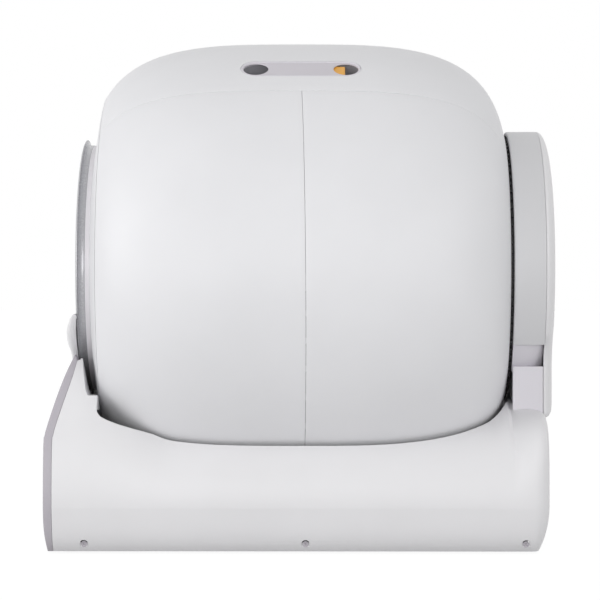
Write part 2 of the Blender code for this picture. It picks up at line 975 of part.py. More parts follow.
def arch_cover():
    """The cover round the tower's head, which lifts off by the finger notch on each side."""
    inner = tower_radius - arch_wall
    cover = turned(
        "arch_cover",
        [
            (arch_back_x, tower_radius),
            (tower_front_x, tower_radius),
            (tower_front_x, inner),
            (arch_back_x, inner),
        ],
        int(1.5 * round_steps),
    )
    cut(cover, wedge("arch_foot", arch_angle, 360 - arch_angle, tower_front_x - overrun, back_x))
    return finish(cover, tower_grey, 0.45)


def back_cover():
    """The rounded rear cover of the tower, with posts that carry the main board."""
    start = arch_back_x + seat_gap
    deep = back_x - start
    rings, rooms = [], []
    for share in cover_shares:
        inset = cover_round * (1 - math.sqrt(1 - share**cover_round_power))
        foot = cover_bottom + cover_foot_share * inset
        outline = tower_outline(tower_radius, neck_half_width, None, foot, inset)
        rings.append([(start + deep * share, *point) for point in outline])
    for share in cover_shares[:-1]:
        inset = cover_round * (1 - math.sqrt(1 - share**cover_round_power))
        foot = cover_bottom + tower_wall + cover_foot_share * inset
        outline = tower_outline(tower_radius, neck_half_width, None, foot, inset + tower_wall)
        x = start + (deep - tower_wall) * share / cover_shares[-2] - (seat_gap if share else overrun)
        rooms.append([(x, *point) for point in outline])
    cover = cut(loft("back_cover", rings), loft("back_cover_inside", rooms))
    board = tower_front_x + board_drop_x
    half_y, half_z = board_size[1] / 2 - post_inset, board_size[2] / 2 - post_inset
    for number, (sy, sz) in enumerate(((-1, -1), (-1, 1), (1, -1), (1, 1)), 1):
        y, z = sy * half_y, board_height + sz * half_z
        post = rod(
            f"board_post_{number}",
            (board + board_size[0] + seat_gap, y, z),
            (back_x - tower_wall / 2, y, z),
            post_radius,
            12,
        )
        join(cover, post)
    return finish(cover, white, 0.45)


def main_board():
    front = tower_front_x + board_drop_x
    half_y, half_z = board_size[1] / 2, board_size[2] / 2
    board = box(
        "main_board",
        (front, -half_y, board_height - half_z),
        (front + board_size[0], half_y, board_height + half_z),
    )
    return finish(board, board_green, 0.5)


def involute(angle):
    return math.tan(angle) - angle


def gear_outline(teeth, inside, backlash, tip_share, root_share):
    """(y, z) points of a gear with involute flanks, or of the toothed hole of an internal gear."""
    pitch = gear_module * teeth / 2
    base = pitch * math.cos(math.radians(pressure_angle))
    reach = 1 if inside is False else -1
    tip = pitch + gear_module * tip_share
    root = pitch - gear_module * root_share
    low = max(root, base * 1.0005)
    thick = math.pi / (2 * teeth) - reach * backlash / (2 * pitch)
    flank = []
    for share in (0.0, 1.0) if inside else (0.0, 0.5, 1.0):
        radius = low + (tip - low) * share
        half = thick + involute(math.radians(pressure_angle)) - involute(math.acos(base / radius))
        flank.append((radius, half))
    points = []
    for tooth in range(teeth):
        middle = 2 * math.pi * tooth / teeth
        side = [(root, flank[0][1] * 1.12)] + flank if root < low * 0.999 else flank
        for radius, half in side:
            points.append((radius, middle - half))
        for radius, half in reversed(side):
            points.append((radius, middle + half))
    return [(radius * math.sin(angle), -radius * math.cos(angle)) for radius, angle in points]


def ring_gear():
    """The internal gear on the drum's rear, with the ribbed flange that shows beside the tower."""
    outline = gear_outline(ring_teeth, True, gear_backlash, gear_dedendum_share, ring_addendum_share)
    teeth = [(y, z + axis_height) for y, z in outline]
    rim = arc(gear_radius, 0, 360, round_steps)[:-1]
    gear = slab("ring_gear", [rim, teeth], gear_teeth_x - fine_overrun / 2, gear_teeth_x + gear_depth, "X")
    edge = arc(flange_radius, 0, 360, round_steps)[:-1]
    hole = arc(ring_pitch - gear_module, 0, 360, round_steps)[:-1]
    flange = slab("ring_gear_flange", [edge, hole], gear_front_x, gear_teeth_x, "X")
    return finish(join(gear, flange), gear_white, 0.5)


def pinion():
    middle = pinion_height
    outline = gear_outline(pinion_teeth, False, gear_backlash, gear_addendum_share, gear_dedendum_share)
    placed = [(y, z + middle) for y, z in outline]
    front = gear_teeth_x + running_gap
    gear = slab("pinion", [placed], front, front + pinion_depth, "X")
    shaft = rod(
        "pinion_shaft",
        (front + pinion_depth / 2, 0, middle),
        (motor_face_x - seat_gap, 0, middle),
        pinion_bore_shaft,
        20,
    )
    join(gear, shaft)
    return finish(pivoted(gear, (front, 0, middle)), steel, 0.4, 0.8)


motor_plate_x = gear_teeth_x + gear_depth + running_gap
motor_face_x = motor_plate_x + motor_bracket_thickness + seat_gap


def motor_parts():
    middle = pinion_height
    half = motor_bracket_half_width
    outline = [
        (-half, motor_bracket_low),
        (half, motor_bracket_low),
        (half, motor_bracket_high),
        (-half, motor_bracket_high),
    ]
    circle = [
        (
            (pinion_bore_shaft + running_gap) * math.cos(math.radians(turn)),
            middle + (pinion_bore_shaft + running_gap) * math.sin(math.radians(turn)),
        )
        for turn in range(0, 360, 20)
    ]
    bracket = slab(
        "motor_bracket",
        [outline, circle],
        motor_plate_x,
        motor_plate_x + motor_bracket_thickness,
        "X",
    )
    finish(bracket, steel, 0.35, 0.9)
    long, wide, tall = gearbox_size
    gearbox = box(
        "gearbox",
        (motor_face_x, -wide / 2, middle - tall / 2),
        (motor_face_x + long, wide / 2, middle + tall / 2),
    )
    finish(gearbox, dark_grey, 0.5)
    x = motor_face_x + motor_radius
    low = wide / 2 + seat_gap
    motor = rod("motor", (x, low, middle), (x, low + motor_length, middle), motor_radius, 24)
    finish(motor, steel, 0.3, 0.9)


def socket_room(name, gap):
    """The hole that the power inlet sits in."""
    long, wide, tall = socket_size
    return box(
        name,
        (tub_back_x - long - gap, socket_place_y - wide / 2 - gap, socket_height - tall / 2 - gap),
        (tub_back_x + overrun, socket_place_y + wide / 2 + gap, socket_height + tall / 2 + gap),
    )


def power_inlet():
    """The inlet for a low-voltage plug, in the rear of the base."""
    long, wide, tall = socket_size
    back = tub_back_x - fine_overrun
    inlet = box(
        "power_inlet",
        (back - long, socket_place_y - wide / 2, socket_height - tall / 2),
        (back, socket_place_y + wide / 2, socket_height + tall / 2),
    )
    bore = rod(
        "inlet_bore",
        (back - long * 0.75, socket_place_y, socket_height),
        (back + overrun, socket_place_y, socket_height),
        socket_bore,
        16,
    )
    return finish(cut(inlet, bore), dark_grey, 0.4)


# The rollers that carry the drum


def rollers():
    for sx, end in ((-1, "front"), (1, "rear")):
        for sy, side in ((1, "near"), (-1, "far")):
            x = drum_middle_x + sx * roller_spread_x / 2
            track = barrel_radius(x - roller_width / 2 * -sx)
            track = max(barrel_radius(x - roller_width / 2), barrel_radius(x + roller_width / 2), track)
            centre = around(180 - sy * roller_angle, track + seat_gap + roller_radius, x)
            y, z = centre.y, centre.z
            low, high = x - roller_width / 2, x + roller_width / 2
            roller = turned(
                f"roller_{end}_{side}",
                [
                    (high, roller_radius),
                    (low, roller_radius),
                    (low, axle_radius + seat_gap),
                    (high, axle_radius + seat_gap),
                ],
                32,
                z,
                y,
            )
            finish(roller, rubber, 0.7)
            gap = running_gap / 2
            first, last = low - gap - bracket_wall, high + gap + bracket_wall
            axle = rod(f"axle_{end}_{side}", (first, y, z), (last, y, z), axle_radius, 20)
            finish(axle, steel, 0.3, 0.9)
            bracket = box(
                f"bracket_{end}_{side}",
                (first, y - bracket_half_depth, pan_top + seat_gap),
                (last, y + bracket_half_depth, z + bracket_head),
            )
            cut(
                bracket,
                box(
                    f"bracket_fork_{end}_{side}",
                    (low - gap, y - roller_radius - overrun, pan_top + seat_gap + bracket_base),
                    (high + gap, y + roller_radius + overrun, z + overrun),
                ),
                rod(
                    f"bracket_bore_{end}_{side}",
                    (first - overrun, y, z),
                    (last + overrun, y, z),
                    axle_radius + seat_gap,
                    20,
                ),
            )
            finish(bracket, dark_grey, 0.6)


# The drawer

drawer_bottom = pan_top + runner_height + seat_gap
tray_front_x = fascia_back_x + seat_gap


def under_drum(y, gap):
    """The highest that something may stand under the drum at y."""
    return axis_height - math.sqrt((drum_radius + gap) ** 2 - y**2)


def drawer():
    tray_back_x = tray_front_x + drawer_length
    low = drawer_bottom
    count = 12
    places = [drawer_half_width * (1 - 2 * i / count) for i in range(count + 1)]
    top = [(y, under_drum(y, drawer_drum_gap)) for y in places]
    outline = [(-drawer_half_width, low), (drawer_half_width, low)] + top
    tray = slab("drawer_tray", [outline], tray_front_x, tray_back_x, "X")
    inner = drawer_half_width - drawer_wall
    cut(
        tray,
        box(
            "tray_inside",
            (tray_front_x + drawer_wall, -inner, low + drawer_floor),
            (tray_back_x - drawer_wall, inner, axis_height),
        ),
    )
    finish(pivoted(tray, (tray_front_x, 0, low)), white, 0.5)
    front = box(
        "drawer_front",
        (front_x, -drawer_front_half_width, low),
        (fascia_back_x, drawer_front_half_width, drawer_front_top),
    )
    pull_top = drawer_front_top - pull_drop
    cut(
        front,
        box(
            "drawer_pull",
            (front_x - overrun, -pull_half_width, pull_top - pull_height),
            (front_x + pull_depth, pull_half_width, pull_top),
        ),
    )
    carried(finish(front, white, 0.4), tray)
    hold = inner - seat_gap
    first, last = tray_front_x + drawer_wall + seat_gap, tray_back_x - drawer_wall - seat_gap
    frame = box("bag_frame", (first, -hold, bag_frame_top - bag_frame_height), (last, hold, bag_frame_top))
    room = bag_frame_width
    cut(
        frame,
        box(
            "bag_frame_hole",
            (first + room, -hold + room, low),
            (last - room, hold - room, axis_height),
        ),
    )
    carried(finish(frame, lilac_grey, 0.5), tray)
    floor = low + drawer_floor + seat_gap
    top = bag_frame_top - bag_frame_height - filter_headroom
    filter_box = box(
        "odour_filter", (first, -filter_width / 2, floor), (first + filter_length, filter_width / 2, top)
    )
    carried(finish(filter_box, dark_grey, 0.8), tray)


# The drum


def drum_pivot(piece):
    return carried(piece, drum_hub)


drum_hub = bpy.data.objects.new("drum_axis", None)
parts.objects.link(drum_hub)
drum_hub.location = (drum_middle_x, 0, axis_height)

port_low_x = drum_middle_x - port_half_length
port_high_x = drum_middle_x + port_half_length


def drum_shells():
    """The two halves of the drum, open at the top for the cover and at the far side for the waste."""
    for name, front, back in (
        ("drum_front_shell", cap_x + seam_gap, drum_seam_x - seam_gap / 2),
        ("drum_rear_shell", drum_seam_x + seam_gap / 2, drum_back_x - seat_gap),
    ):
        shell = barrel_wall(name, front, back)
        far = cover_angle + math.degrees(cover_gap / drum_radius)
        cut(
            shell,
            wedge(name + "_mouth", -far, far, front_x, back_x),
            wedge(name + "_port", -port_last_angle, -port_first_angle, port_low_x, port_high_x),
        )
        for number, x in enumerate(hinge_places_x):
            cut(shell, hinge_room(f"{name}_hinge_room_{number}", x))
        drum_pivot(finish(shell, white, 0.35))


hinge_angle = -cover_angle - math.degrees(cover_gap / 2 / drum_radius)
hinge_axis_radius = drum_radius + hinge_proud
hinge_places_x = (drum_middle_x - hinge_spread / 2, drum_middle_x + hinge_spread / 2)


def hinge_room(name, x):
    """The notch through the wall that holds one hinge."""
    half = hinge_length / 2 + seat_gap
    outer = drum_radius + overrun
    inner = drum_radius - drum_wall - overrun
    spread = math.degrees((hinge_leaf + seat_gap) / drum_radius)
    back = math.degrees((hinge_radius + running_gap) / drum_radius)
    outline = arc(outer, hinge_angle - spread, hinge_angle + back, 2)
    outline += arc(inner, hinge_angle + back, hinge_angle - spread, 2)
    return slab(name, [outline], x - half, x + half, "X")


def cover_hinges():
    """Two fixed leaves on the drum, each with a pin that a lug of the cover turns on."""
    for number, x in enumerate(hinge_places_x, 1):
        half = hinge_length / 2
        lug = hinge_lug / 2 + seat_gap
        pin_end = around(hinge_angle, hinge_axis_radius)
        name = f"cover_hinge_{number}"
        pin = rod(name, (x - half, *pin_end[1:]), (x + half, *pin_end[1:]), hinge_pin_radius, 16)
        floor = hinge_axis_radius - hinge_radius - running_gap + seat_gap
        outer = drum_radius
        first = hinge_angle - math.degrees(hinge_leaf / drum_radius)
        behind = hinge_angle - math.degrees((hinge_radius + seat_gap) / drum_radius)
        outline = arc(outer, first, behind, 2) + arc(floor, behind, first, 2)
        leaf = slab(name + "_leaf", [outline], x - half, x + half, "X")
        for side in (-1, 1):
            near, end = sorted((x + side * lug, x + side * half))
            knuckle = rod(
                f"{name}_knuckle_{side}", (near, *pin_end[1:]), (end, *pin_end[1:]), hinge_radius, 16
            )
            ear_line = arc(outer, first, hinge_angle, 2) + arc(floor, hinge_angle, first, 2)
            ear = slab(f"{name}_ear_{side}", [ear_line], near, end, "X")
            join(pin, knuckle, ear)
        join(pin, leaf)
        drum_pivot(finish(pin, steel, 0.35, 0.9))


def top_cover():
    """The cover over the drum's top, from end to end, with lugs that turn on the hinge pins."""
    cover = barrel_wall("top_cover", cap_x + seam_gap, drum_back_x - seat_gap, count=2 * profile_steps - 2)
    keep(cover, wedge("cover_sector", -cover_angle, cover_angle, front_x, back_x))
    cut(cover, handle_shape("cover_handle_hole", drum_radius + overrun, drum_radius - overrun, 0))
    for number, x in enumerate(hinge_places_x):
        cut(cover, hinge_room(f"cover_hinge_room_{number}", x))
        centre = around(hinge_angle, hinge_axis_radius)
        low, high = x - hinge_lug / 2, x + hinge_lug / 2
        knuckle = rod(f"cover_lug_{number}", (low, *centre[1:]), (high, *centre[1:]), hinge_radius, 16)
        last = hinge_angle + math.degrees((hinge_radius + 2 * running_gap) / drum_radius)
        top = drum_radius
        floor = drum_radius - drum_wall
        line = arc(top, hinge_angle, last, 2) + arc(floor, last, hinge_angle, 2)
        web = slab(f"cover_web_{number}", [line], low, high, "X")
        bore = rod(
            f"cover_bore_{number}",
            (low - overrun, *centre[1:]),
            (high + overrun, *centre[1:]),
            hinge_pin_radius + seat_gap,
            16,
        )
        join(cover, knuckle, web)
        cut(cover, bore)
    finish(cover, white, 0.35)
    return cover


def pill(length, width, middle_x):
    """(x, y) points of a flat shape with round ends."""
    straight = length / 2 - width / 2
    points = []
    for side, start in ((1, -90), (-1, 90)):
        for turn in range(0, 181, 15):
            angle = math.radians(start + turn)
            points.append(
                (middle_x + side * straight + width / 2 * math.cos(angle), width / 2 * math.sin(angle))
            )
    return points


def leaned(piece):
    """A piece made on the drum's top, turned round to the handle's place."""
    turn = Matrix.Rotation(math.radians(handle_angle), 4, "X")
    up = Matrix.Translation((0, 0, axis_height))
    piece.data.transform(up @ turn)
    return piece


def handle_shape(name, high, low, inset):
    """An upright pill through the drum's wall at the handle."""
    outline = pill(handle_length - 2 * inset, handle_width - 2 * inset, handle_middle_x)
    return leaned(slab(name, [outline], low, high, "Z"))


finger_places_x = (handle_middle_x - finger_spread / 2, handle_middle_x + finger_spread / 2)
handle_top = drum_radius - handle_inset
plate_top = drum_radius - handle_sink - handle_plate_step
plate_bottom = plate_top - handle_plate
pocket_floor = drum_radius - handle_depth + handle_floor


def handle_cup():
    """The grey cup let into the cover: a grip bar between two finger holes, over one pocket."""
    cup = handle_shape("handle_cup", handle_top, drum_radius - handle_depth, seat_gap)
    low, high = handle_middle_x - handle_length, handle_middle_x + handle_length
    outer = barrel_room("cup_skin", low, high, handle_inset, drum_radius / 2)
    keep(cup, outer)
    border = handle_border + seat_gap
    recess = handle_shape("cup_recess", drum_radius + overrun, plate_top, border)
    pocket = handle_shape("cup_pocket", plate_bottom, pocket_floor, border)
    cut(cup, recess, pocket)
    for number, x in enumerate(finger_places_x):
        hole = rod(
            f"cup_finger_hole_{number}",
            (x, 0, plate_bottom - fine_overrun),
            (x, 0, drum_radius + overrun),
            finger_radius,
            24,
        )
        cut(cup, leaned(hole))
    return finish(cup, lilac_grey, 0.4)


latch_place_x = finger_places_x[1] - finger_radius + latch_show - latch_length / 2


def cover_latch():
    """The orange latch that shows in the rear finger hole and slides forwards."""
    low = plate_bottom - seat_gap - latch_height
    body = box(
        "cover_latch",
        (latch_place_x - latch_length / 2, -latch_width / 2, low),
        (latch_place_x + latch_length / 2, latch_width / 2, plate_bottom - seat_gap),
    )
    leaned(body)
    foot = leaned(
        box(
            "latch_foot",
            (latch_place_x - latch_length / 2, -latch_width / 4, pocket_floor + seat_gap),
            (latch_place_x, latch_width / 4, low + latch_height / 2),
        )
    )
    join(body, foot)
    finish(body, orange, 0.4)
    return body


def front_cap():
    """The low dome of the drum's front end, from the shells in to the neck of the entry ring."""
    outside = []
    for i in range(cap_profile_steps + 1):
        share = (i / cap_profile_steps) ** 2
        outside.append((cap_x - cap_rise * share**cap_power, cap_radius + (neck_radius - cap_radius) * share))
    inside = [
        (neck_x, ring_bore),
        (neck_x + drum_wall, ring_bore),
        (cap_x, barrel_radius(cap_x, drum_wall)),
    ]
    return finish(turned("front_cap", outside + inside), white, 0.4)


def entry_ring():
    """The grey ring round the entry: a neck on the drum's end and a rim with a rounded front."""
    middle = (ring_radius + ring_bore) / 2
    half = (ring_radius - ring_bore) / 2
    outside = [
        (ring_back_x, neck_radius),
        (ring_rim_x, neck_radius),
        (ring_rim_x, ring_radius - ring_back_share * half),
        (ring_rim_x - ring_back_share * ring_rim_depth, ring_radius),
    ]
    bulge = ring_round_share * ring_rim_depth
    for turn in range(0, 181, 45):
        angle = math.radians(turn)
        outside.append((ring_front_x + bulge * (1 - math.sin(angle)), middle + half * math.cos(angle)))
    ring = turned("entry_ring", outside + [(ring_back_x, ring_bore)], ring_steps)
    return finish(ring, ring_grey, 0.25, 0.6)


def rear_plate():
    """The plate that closes the drum's rear."""
    back = drum_back_x
    front = back - drum_wall
    radius = barrel_radius(back - seat_gap, drum_wall) - cover_gap
    plate = rod("rear_plate", (front, 0, axis_height), (back, 0, axis_height), radius, round_steps)
    return finish(plate, white, 0.45)


def waste_shutter():
    """The curved shutter over the waste port, which slides up under the cover."""
    low, high = port_low_x - shutter_lap, port_high_x + shutter_lap
    shutter = barrel_wall("waste_shutter", low, high, drum_wall + shutter_gap, shutter_wall)
    first = port_first_angle - shutter_lap_angle
    last = port_last_angle + shutter_lap_angle
    keep(shutter, wedge("shutter_sector", -last, -first, front_x, back_x))
    return finish(shutter, lilac_grey, 0.45)


def sifting_screen():
    """The slotted screen that sets off the pocket where the clean litter runs."""
    reach = barrel_radius(drum_middle_x + screen_half_length, drum_wall) - seat_gap
    first = around(-screen_first_angle, reach)
    last = around(-screen_last_angle, reach)
    chord = last - first
    width = chord.length
    ends = screen_half_length
    outline = [(-ends, 0), (ends, 0), (ends, width), (-ends, width)]
    holes = []
    for column in range(slot_columns):
        for row in range(slot_rows):
            x = ends * (2 * (column + 0.5) / slot_columns - 1) * 0.94
            v = width * (row + 0.5) / slot_rows * 0.90 + width * 0.05
            half_x, half_v = slot_length / 2, slot_width / 2
            holes.append(
                [
                    (x - half_x, v - half_v),
                    (x + half_x, v - half_v),
                    (x + half_x, v + half_v),
                    (x - half_x, v + half_v),
                ]
            )
    screen = slab("sifting_screen", [outline, *holes], 0, screen_thickness, "Z")
    along = chord.normalized()
    out = Vector((1, 0, 0)).cross(along)
    frame = Matrix(
        (
            (1, along.x, out.x, drum_middle_x),
            (0, along.y, out.y, first.y),
            (0, along.z, out.z, first.z),
            (0, 0, 0, 1),
        )
    )
    screen.data.transform(frame)
    keep(
        screen,
        barrel_room(
            "screen_trim",
            drum_middle_x - drum_half_length / 2 - overrun,
            drum_middle_x + drum_half_length / 2 + overrun,
            drum_wall + running_gap,
            drum_radius / 4,
        ),
    )
    return finish(screen, dark_grey, 0.5)


def litter_liner():
    """The soft floor of the litter bed."""
    low, high = drum_middle_x - liner_half_length, drum_middle_x + liner_half_length
    liner = barrel_wall("litter_liner", low, high, drum_wall + 2 * seat_gap, liner_thickness, 10)
    keep(liner, wedge("liner_sector", 180 - liner_half_angle, 180 + liner_half_angle, front_x, back_x))
    return finish(liner, dark_grey, 0.8)


def drum():
    drum_shells()
    cover_hinges()
    cover = top_cover()
    hinge = around(hinge_angle, hinge_axis_radius, drum_middle_x)
    cover_axis = bpy.data.objects.new("cover_axis", None)
    parts.objects.link(cover_axis)
    cover_axis.location = hinge
    bpy.context.view_layer.update()
    carried(cover_axis, drum_hub)
    bpy.context.view_layer.update()
    for piece in (cover, handle_cup(), cover_latch()):
        carried(piece, cover_axis)
    for piece in (
        front_cap(),
        entry_ring(),
        ring_gear(),
        rear_plate(),
        waste_shutter(),
        sifting_screen(),
        litter_liner(),
    ):
        drum_pivot(piece)


base_tub()
base_pan()
feet()
side_screws()
front_fascia()
controls()
entry_step()
tower_shell()
arch_cover()
back_cover()
main_board()
pinion()
motor_parts()
power_inlet()
rollers()
drawer()
drum()
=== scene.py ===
import json
import math
from contextlib import contextmanager

import bmesh
import bpy
import numpy as np
from mathutils import Matrix, Vector


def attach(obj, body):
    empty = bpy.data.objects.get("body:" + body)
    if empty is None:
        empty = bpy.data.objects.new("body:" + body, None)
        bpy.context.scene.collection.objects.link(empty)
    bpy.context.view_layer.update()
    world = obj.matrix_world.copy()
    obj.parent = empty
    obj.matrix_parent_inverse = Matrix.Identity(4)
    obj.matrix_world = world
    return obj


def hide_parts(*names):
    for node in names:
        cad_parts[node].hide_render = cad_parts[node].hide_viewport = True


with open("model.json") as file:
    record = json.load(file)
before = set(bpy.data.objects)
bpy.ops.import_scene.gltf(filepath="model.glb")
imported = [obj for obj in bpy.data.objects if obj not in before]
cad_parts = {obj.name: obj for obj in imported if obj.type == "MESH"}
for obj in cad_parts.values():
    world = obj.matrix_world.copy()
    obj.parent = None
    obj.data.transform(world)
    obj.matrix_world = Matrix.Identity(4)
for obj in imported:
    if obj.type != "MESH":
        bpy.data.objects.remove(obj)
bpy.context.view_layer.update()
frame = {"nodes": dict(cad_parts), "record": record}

# Sizes in metres and angles in degrees
front_x, back_x = -0.265, 0.265
base_width = 0.374
drum_radius = 0.2435
axis_height = 0.297
drum_half_length = 0.2277
drum_middle_x = -0.005
drum_seam_x = 0.0058
drum_wall = 0.003
end_power, round_power = 3.4, 4.9
cap_radius, cap_rise, cap_power = 0.187, 0.0103, 0.85
neck_radius, rear_radius = 0.1335, 0.145
cover_angle = 42.0
ring_radius, ring_bore, ring_neck_length, ring_rim_depth = 0.1397, 0.1275, 0.0044, 0.0113
finger_spread = 0.094
hinge_spread, hinge_length, hinge_lug = 0.140, 0.030, 0.012
hinge_radius, hinge_pin_radius, hinge_leaf = 0.0028, 0.0013, 0.012
port_first_angle, port_last_angle, port_half_length = 54.0, 88.0, 0.080
flange_radius, flange_thickness = 0.142, 0.0028
tower_radius, tower_stand_off, arch_wall, arch_angle = 0.1485, 0.0028, 0.0042, 123.5
arch_back_x, cover_bottom, cover_foot_share = 0.2515, 0.1375, 0.4
neck_half_width, neck_top_drop, grip_radius = 0.107, 0.105, 0.1325
tub_bottom, tub_bulge_height, tub_low_reach = 0.003, 0.050, 0.0707
tub_shoulder, tub_front_shoulder = 0.100, 0.178
tub_rise_start_x, tub_rise_end_x = -0.130, -0.235
tub_power, tub_low_power, tub_wall = 2.6, 3.0, 0.003
tub_back_x, tub_round, tub_tuck = 0.2543, 0.016, 0.010
ring_room_radius = 0.1425
notch_height = 0.163
horn_height, horn_solid_height = 0.2045, 0.148
fascia_thickness, fascia_upright_height, fascia_lean_x = 0.0085, 0.112, 0.0265
screw_height, screw_radius = 0.0112, 0.0032
screw_recess_radius, screw_recess_depth = 0.0044, 0.0025
screw_places_x = (-0.2240, 0.0036, 0.2300)
socket_front_x, socket_bottom, socket_top = 0.2420, 0.0282, 0.0398
socket_low_y, socket_high_y = 0.0777, 0.0923
drawer_half_width, drawer_front_half_width, drawer_front_top = 0.1185, 0.1245, 0.1020
drawer_low = 0.0098
pull_half_length, pull_low, pull_high, pull_depth = 0.045, 0.076, 0.092, 0.0055
control_height = 0.1150
button_places_y, sensor_place_y = (-0.066, -0.046, 0.046), 0.066
button_radius = 0.0055
lens_half_width, lens_half_height, lens_thickness = 0.026, 0.0050, 0.0020
post_radius, post_height, post_front_x, post_back_x = 0.0032, 0.370, 0.2451, 0.2630
post_reach_y, post_reach_z = 0.048, 0.028
seat_gap, running_gap, turning_gap = 0.0003, 0.001, 0.0045
overrun, fine_overrun = 0.020, 0.002

# Sizes and an angle that differ here from those of the solids
handle_angle = 31.6
handle_length, handle_width, handle_middle_x = 0.1264, 0.0355, -0.0015
finger_radius = 0.0129
plate_top = drum_radius - 0.0010
plate_bottom = plate_top - 0.0014
pocket_floor = drum_radius - 0.0170
cover_round = 0.034
seam_gap, cover_gap = 0.0003, 0.0003

fine = 2
around_steps = 96 * fine
half_out = base_width / 2 + overrun


# Meshes


def linked(name, data):
    """A new object in the scene."""
    made = bpy.data.objects.new(name, data)
    bpy.context.scene.collection.objects.link(made)
    return made


@contextmanager
def editing(mesh, target=None):
    """A mesh open for changes, written back at the end or to a target."""
    bm = bmesh.new()
    bm.from_mesh(mesh)
    yield bm
    bm.to_mesh(mesh if target is None else target)
    bm.free()


def shape(name, points, faces):
    """A mesh object at the origin, its faces turned outwards."""
    mesh = bpy.data.meshes.new(name)
    mesh.from_pydata([tuple(p) for p in points], [], faces)
    with editing(mesh) as bm:
        bmesh.ops.recalc_face_normals(bm, faces=bm.faces)
    return linked(name, mesh)


def settled(made):
    """The same object with its modifiers and its place taken into its mesh."""
    bpy.context.view_layer.update()
    graph = bpy.context.evaluated_depsgraph_get()
    mesh = bpy.data.meshes.new_from_object(made.evaluated_get(graph))
    mesh.transform(made.matrix_world)
    made.modifiers.clear()
    made.parent = None
    made.matrix_world = Matrix.Identity(4)
    made.data = mesh
    return made


def carve(made, tool, operation="DIFFERENCE", solver="EXACT"):
    """Cuts, joins or trims a piece with a tool, which is used up."""
    modifier = made.modifiers.new("carve", "BOOLEAN")
    modifier.operation = operation
    modifier.solver = solver
    modifier.object = tool
    settled(made)
    bpy.data.objects.remove(tool, do_unlink=True)
    return made


def smooth(made, angle=35):
    """Shades a piece smooth up to an angle."""
    made.data.shade_smooth()
    made.data.set_sharp_from_angle(angle=math.radians(angle))
    return made


def coated(made, look):
    """The piece with one material in place of any that it had."""
    made.data.materials.clear()
    made.data.materials.append(look)
    return made


def join_flats(bm, angle):
    """Takes out the cuts across flat faces."""
    bmesh.ops.remove_doubles(bm, verts=bm.verts, dist=0.00001)
    bmesh.ops.dissolve_limit(bm, angle_limit=math.radians(angle), verts=bm.verts, edges=bm.edges)


def cad_copy(node, name, angle):
    """A copy of a CAD node, without the cuts across its flat faces."""
    mesh = bpy.data.meshes.new(name)
    with editing(frame["nodes"][node].data, mesh) as bm:
        join_flats(bm, angle)
    return linked(name, mesh)


def softened_edges(made, width, segments=2, angle=30):
    """Rounds the sharp edges of a piece."""
    bevel = made.modifiers.new("soft_edges", "BEVEL")
    bevel.width = width
    bevel.segments = segments
    bevel.limit_method = "ANGLE"
    bevel.angle_limit = math.radians(angle)
    bevel.harden_normals = False
    return settled(made)


def merged(name, *pieces):
    """One object from several, each keeping its own materials."""
    bm = bmesh.new()
    mesh = bpy.data.meshes.new(name)
    for made in pieces:
        base = len(mesh.materials)
        for look in made.data.materials:
            mesh.materials.append(look)
        start = len(bm.faces)
        bm.from_mesh(made.data)
        bm.faces.ensure_lookup_table()
        for face in bm.faces[start:]:
            face.material_index += base
    bm.to_mesh(mesh)
    bm.free()
    whole = linked(name, mesh)
    for made in pieces:
        bpy.data.objects.remove(made, do_unlink=True)
    return whole


def block(name, low, high):
    """A box between two corners."""
    x, y, z = zip(low, high)
    points = [(x[i], y[j], z[k]) for i in (0, 1) for j in (0, 1) for k in (0, 1)]
    faces = [(0, 1, 3, 2), (4, 6, 7, 5), (0, 4, 5, 1), (2, 3, 7, 6), (0, 2, 6, 4), (1, 5, 7, 3)]
    return shape(name, points, faces)


def band(a, b, count):
    """The faces between two closed rings of points, given by the numbers of their first points."""
    return [(a + i, a + (i + 1) % count, b + (i + 1) % count, b + i) for i in range(count)]


def skin(name, rings, strips=False):
    """A solid skinned over closed rings of points, whose ends are capped flat or in level strips."""
    count = len(rings[0])
    faces = []
    for row in range(len(rings) - 1):
        faces += band(row * count, (row + 1) * count, count)
    for start in (0, (len(rings) - 1) * count):
        if not strips:
            faces.append(tuple(range(start, start + count)))
            continue
        for i in range(count // 2):
            corners = (start + i, start + i + 1, start + count - 2 - i, start + count - 1 - i)
            faces.append(tuple(dict.fromkeys(corners)))
    return shape(name, [p for ring in rings for p in ring], faces)


def turned(name, profile, steps=around_steps, first=0.0, last=360.0):
    """A closed outline of (x, radius) points turned about the drum's axis, all the way round or in part."""
    whole = last - first >= 360
    count = steps if whole else steps + 1
    size = len(profile)
    points, faces = [], []
    for step in range(count):
        points += [around(first + (last - first) * step / steps, radius, x) for x, radius in profile]
    for step in range(steps):
        faces += band(step * size, (step + 1) % count * size, size)
    if not whole:
        faces.append(tuple(range(size)))
        faces.append(tuple(range((count - 1) * size, count * size)))
    return shape(name, points, faces)


